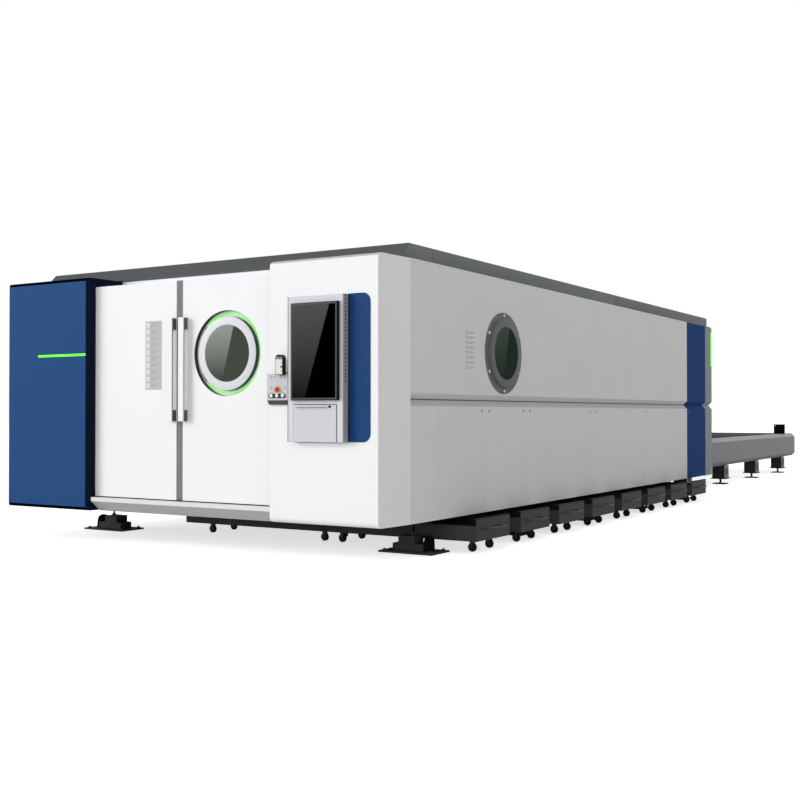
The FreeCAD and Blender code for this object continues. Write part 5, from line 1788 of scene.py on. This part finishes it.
@dataclass
class Gantry:
    """Motors, cable chain and nozzle inside the cabin."""

    depth: float = 7.470
    top: float = 1.385
    drive_x: float = 1.60
    chain_start: float = -1.45
    chain_pitch: float = 0.058
    links: int = 48
    head_x: float = 1.250
    head_wide: float = 0.110
    beam_half: float = 0.160
    carriage_thick: float = 0.120
    head_slot: float = 0.064
    run_gap: float = 0.0003

    def build(self, repeater: Repeater) -> None:
        """Makes the drives, the chain and the cutting head."""
        drive = Form("gantry_drives", CHAIN_BLACK, SCREW_STEEL)
        for sign in (-1, 1):
            x, y = sign * self.drive_x, back(self.depth) + 0.02
            drive.box(around(x, 0.13), around(y, 0.13), (self.top + 0.001, self.top + 0.17))
            drive.box(around(x, 0.16), around(y, 0.16), (self.top + 0.0005, self.top + 0.03), slot=1)
        drive.finish("gantry", edge=0.004)
        link = Form("cable_chain")
        link.box(around(0, 0.052), around(0, 0.075), (0.0, 0.048))
        y, z = back(self.depth - 0.06), self.top + 0.0015
        places = [(self.chain_start + i * self.chain_pitch, y, z) for i in range(self.links)]
        repeater.set_out(link, places, CHAIN_BLACK, "gantry")
        self.head()

    def head(self) -> None:
        """Cutting head with its round body, copper nozzle and lens drawer."""
        x = self.head_x
        plate_front = self.depth - self.beam_half - self.run_gap - self.carriage_thick
        head_back = plate_front + self.head_slot - self.run_gap
        middle = (x, back(head_back - self.head_wide / 2), 0.0)
        head = Form("laser_head", HEAD_METAL, CARRIAGE_DARK, NOZZLE_COPPER)
        head.box(around(x, self.head_wide), around(middle[1], self.head_wide), (1.240, 1.700), slot=1)
        barrel = [(0.0, 1.240), (0.028, 1.240), (0.028, 1.205), (0.018, 1.165), (0.0, 1.165)]
        head.turned(barrel, middle, Facing.UP, sides=32)
        nozzle = [(0.0, 1.166), (0.012, 1.166), (0.010, 1.140), (0.004, 1.120), (0.0, 1.120)]
        head.turned(nozzle, middle, Facing.UP, slot=2, sides=24)
        head.box(around(x, 0.060), (middle[1] - 0.0548, middle[1] - 0.050), (1.300, 1.360))
        head.finish("cutting_head", ["cutting_head"], edge=0.0015)


# ------------------------------------------------------------------ stage


@dataclass
class Studio:
    """White floor and background, soft light and the camera of the photograph."""

    camera_place: Place = (6.30, -11.01, 1.127)
    turn: float = 31.54
    tilt: float = 0.69
    lens: float = 49.61
    sky: float = 0.45
    floor_reach: float = 90.0
    floor_glow: float = 0.68

    def build(self) -> None:
        """Makes the world, the floor, the lights and the camera."""
        scene = bpy.context.scene
        scene.view_settings.view_transform = "Standard"
        self.world(scene)
        self.floor()
        self.lamp("key_lamp", (0.74, 0.62, -0.24), 1.78, 30.0)
        self.lamp("fill_lamp", (-0.60, 0.75, -0.28), 0.9, 70.0)
        camera = bpy.data.cameras.new("photo_camera")
        camera.lens = self.lens
        camera.sensor_width = 36.0
        camera.clip_end = 200.0
        eye = bpy.data.objects.new("photo_camera", camera)
        eye.location = self.camera_place
        eye.rotation_euler = Euler((math.radians(90 + self.tilt), 0.0, math.radians(self.turn)))
        scene.collection.objects.link(eye)
        scene.camera = eye

    def lamp(self, name: str, way: Place, energy: float, spread: float) -> None:
        """Distant soft lamp.

        Args:
            name: Name of the lamp.
            way: Direction in which its light travels.
            energy: Its strength.
            spread: Angle that it fills as seen from the object, in degrees.
        """
        data = bpy.data.lights.new(name, "SUN")
        data.energy = energy
        data.angle = math.radians(spread)
        lamp = bpy.data.objects.new(name, data)
        lamp.rotation_euler = Vector(way).to_track_quat("-Z", "Y").to_euler()
        bpy.context.scene.collection.objects.link(lamp)

    def world(self, scene: bpy.types.Scene) -> None:
        """Even grey light that camera, glossy and transmission rays see as white.

        Args:
            scene: Scene that receives the world.
        """
        world = bpy.data.worlds.new("studio_world")
        world.use_nodes = True
        tree = world.node_tree
        tree.nodes.clear()
        seen = tree.nodes.new("ShaderNodeLightPath")
        first = tree.nodes.new("ShaderNodeMath")
        first.operation = "MAXIMUM"
        second = tree.nodes.new("ShaderNodeMath")
        second.operation = "MAXIMUM"
        light = tree.nodes.new("ShaderNodeBackground")
        white = tree.nodes.new("ShaderNodeBackground")
        light.inputs["Strength"].default_value = self.sky
        white.inputs["Color"].default_value = (1.0, 1.0, 1.0, 1.0)
        light.inputs["Color"].default_value = (1.0, 1.0, 1.0, 1.0)
        mix = tree.nodes.new("ShaderNodeMixShader")
        out = tree.nodes.new("ShaderNodeOutputWorld")
        tree.links.new(seen.outputs["Is Camera Ray"], first.inputs[0])
        tree.links.new(seen.outputs["Is Glossy Ray"], first.inputs[1])
        tree.links.new(first.outputs["Value"], second.inputs[0])
        tree.links.new(seen.outputs["Is Transmission Ray"], second.inputs[1])
        tree.links.new(second.outputs["Value"], mix.inputs["Fac"])
        tree.links.new(light.outputs["Background"], mix.inputs[1])
        tree.links.new(white.outputs["Background"], mix.inputs[2])
        tree.links.new(mix.outputs["Shader"], out.inputs["Surface"])
        scene.world = world

    def floor(self) -> None:
        """Wide white floor that keeps the machine's shadow."""
        mesh = bpy.data.meshes.new("studio_floor")
        reach = self.floor_reach
        corners = [(-reach, -reach, 0.0), (reach, -reach, 0.0), (reach, reach, 0.0), (-reach, reach, 0.0)]
        mesh.from_pydata(corners, [], [(0, 1, 2, 3)])
        material = bpy.data.materials.new("floor_white")
        material.use_nodes = True
        tree = material.node_tree
        shader = tree.nodes["Principled BSDF"]
        shader.inputs["Base Color"].default_value = (0.9, 0.9, 0.9, 1.0)
        shader.inputs["Roughness"].default_value = 0.9
        shader.inputs["Specular IOR Level"].default_value = 0.0
        seen = tree.nodes.new("ShaderNodeLightPath")
        glow = tree.nodes.new("ShaderNodeEmission")
        glow.inputs["Strength"].default_value = self.floor_glow
        black = tree.nodes.new("ShaderNodeEmission")
        black.inputs["Strength"].default_value = 0.0
        pick = tree.nodes.new("ShaderNodeMixShader")
        tree.links.new(seen.outputs["Is Camera Ray"], pick.inputs["Fac"])
        tree.links.new(black.outputs["Emission"], pick.inputs[1])
        tree.links.new(glow.outputs["Emission"], pick.inputs[2])
        add = tree.nodes.new("ShaderNodeAddShader")
        tree.links.new(shader.outputs["BSDF"], add.inputs[0])
        tree.links.new(pick.outputs["Shader"], add.inputs[1])
        tree.links.new(add.outputs["Shader"], tree.nodes["Material Output"].inputs["Surface"])
        mesh.materials.append(material)
        floor = bpy.data.objects.new("studio_floor", mesh)
        bpy.context.scene.collection.objects.link(floor)


def main() -> None:
    """Builds the looks in order."""
    logging.basicConfig(level=logging.INFO, format="%(message)s")
    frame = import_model()
    repeater = Repeater()
    Studio().build()
    Coats(frame).build()
    Doors().build()
    SideWindow().build(repeater)
    Walls().build(repeater)
    Console().build(repeater)
    ControlBox().build(repeater)
    Carts().build()
    Feet().build(repeater)
    Slats().build(repeater)
    ExchangeTable().build(repeater)
    Gantry().build(repeater)


if __name__ == "__main__":
    main()
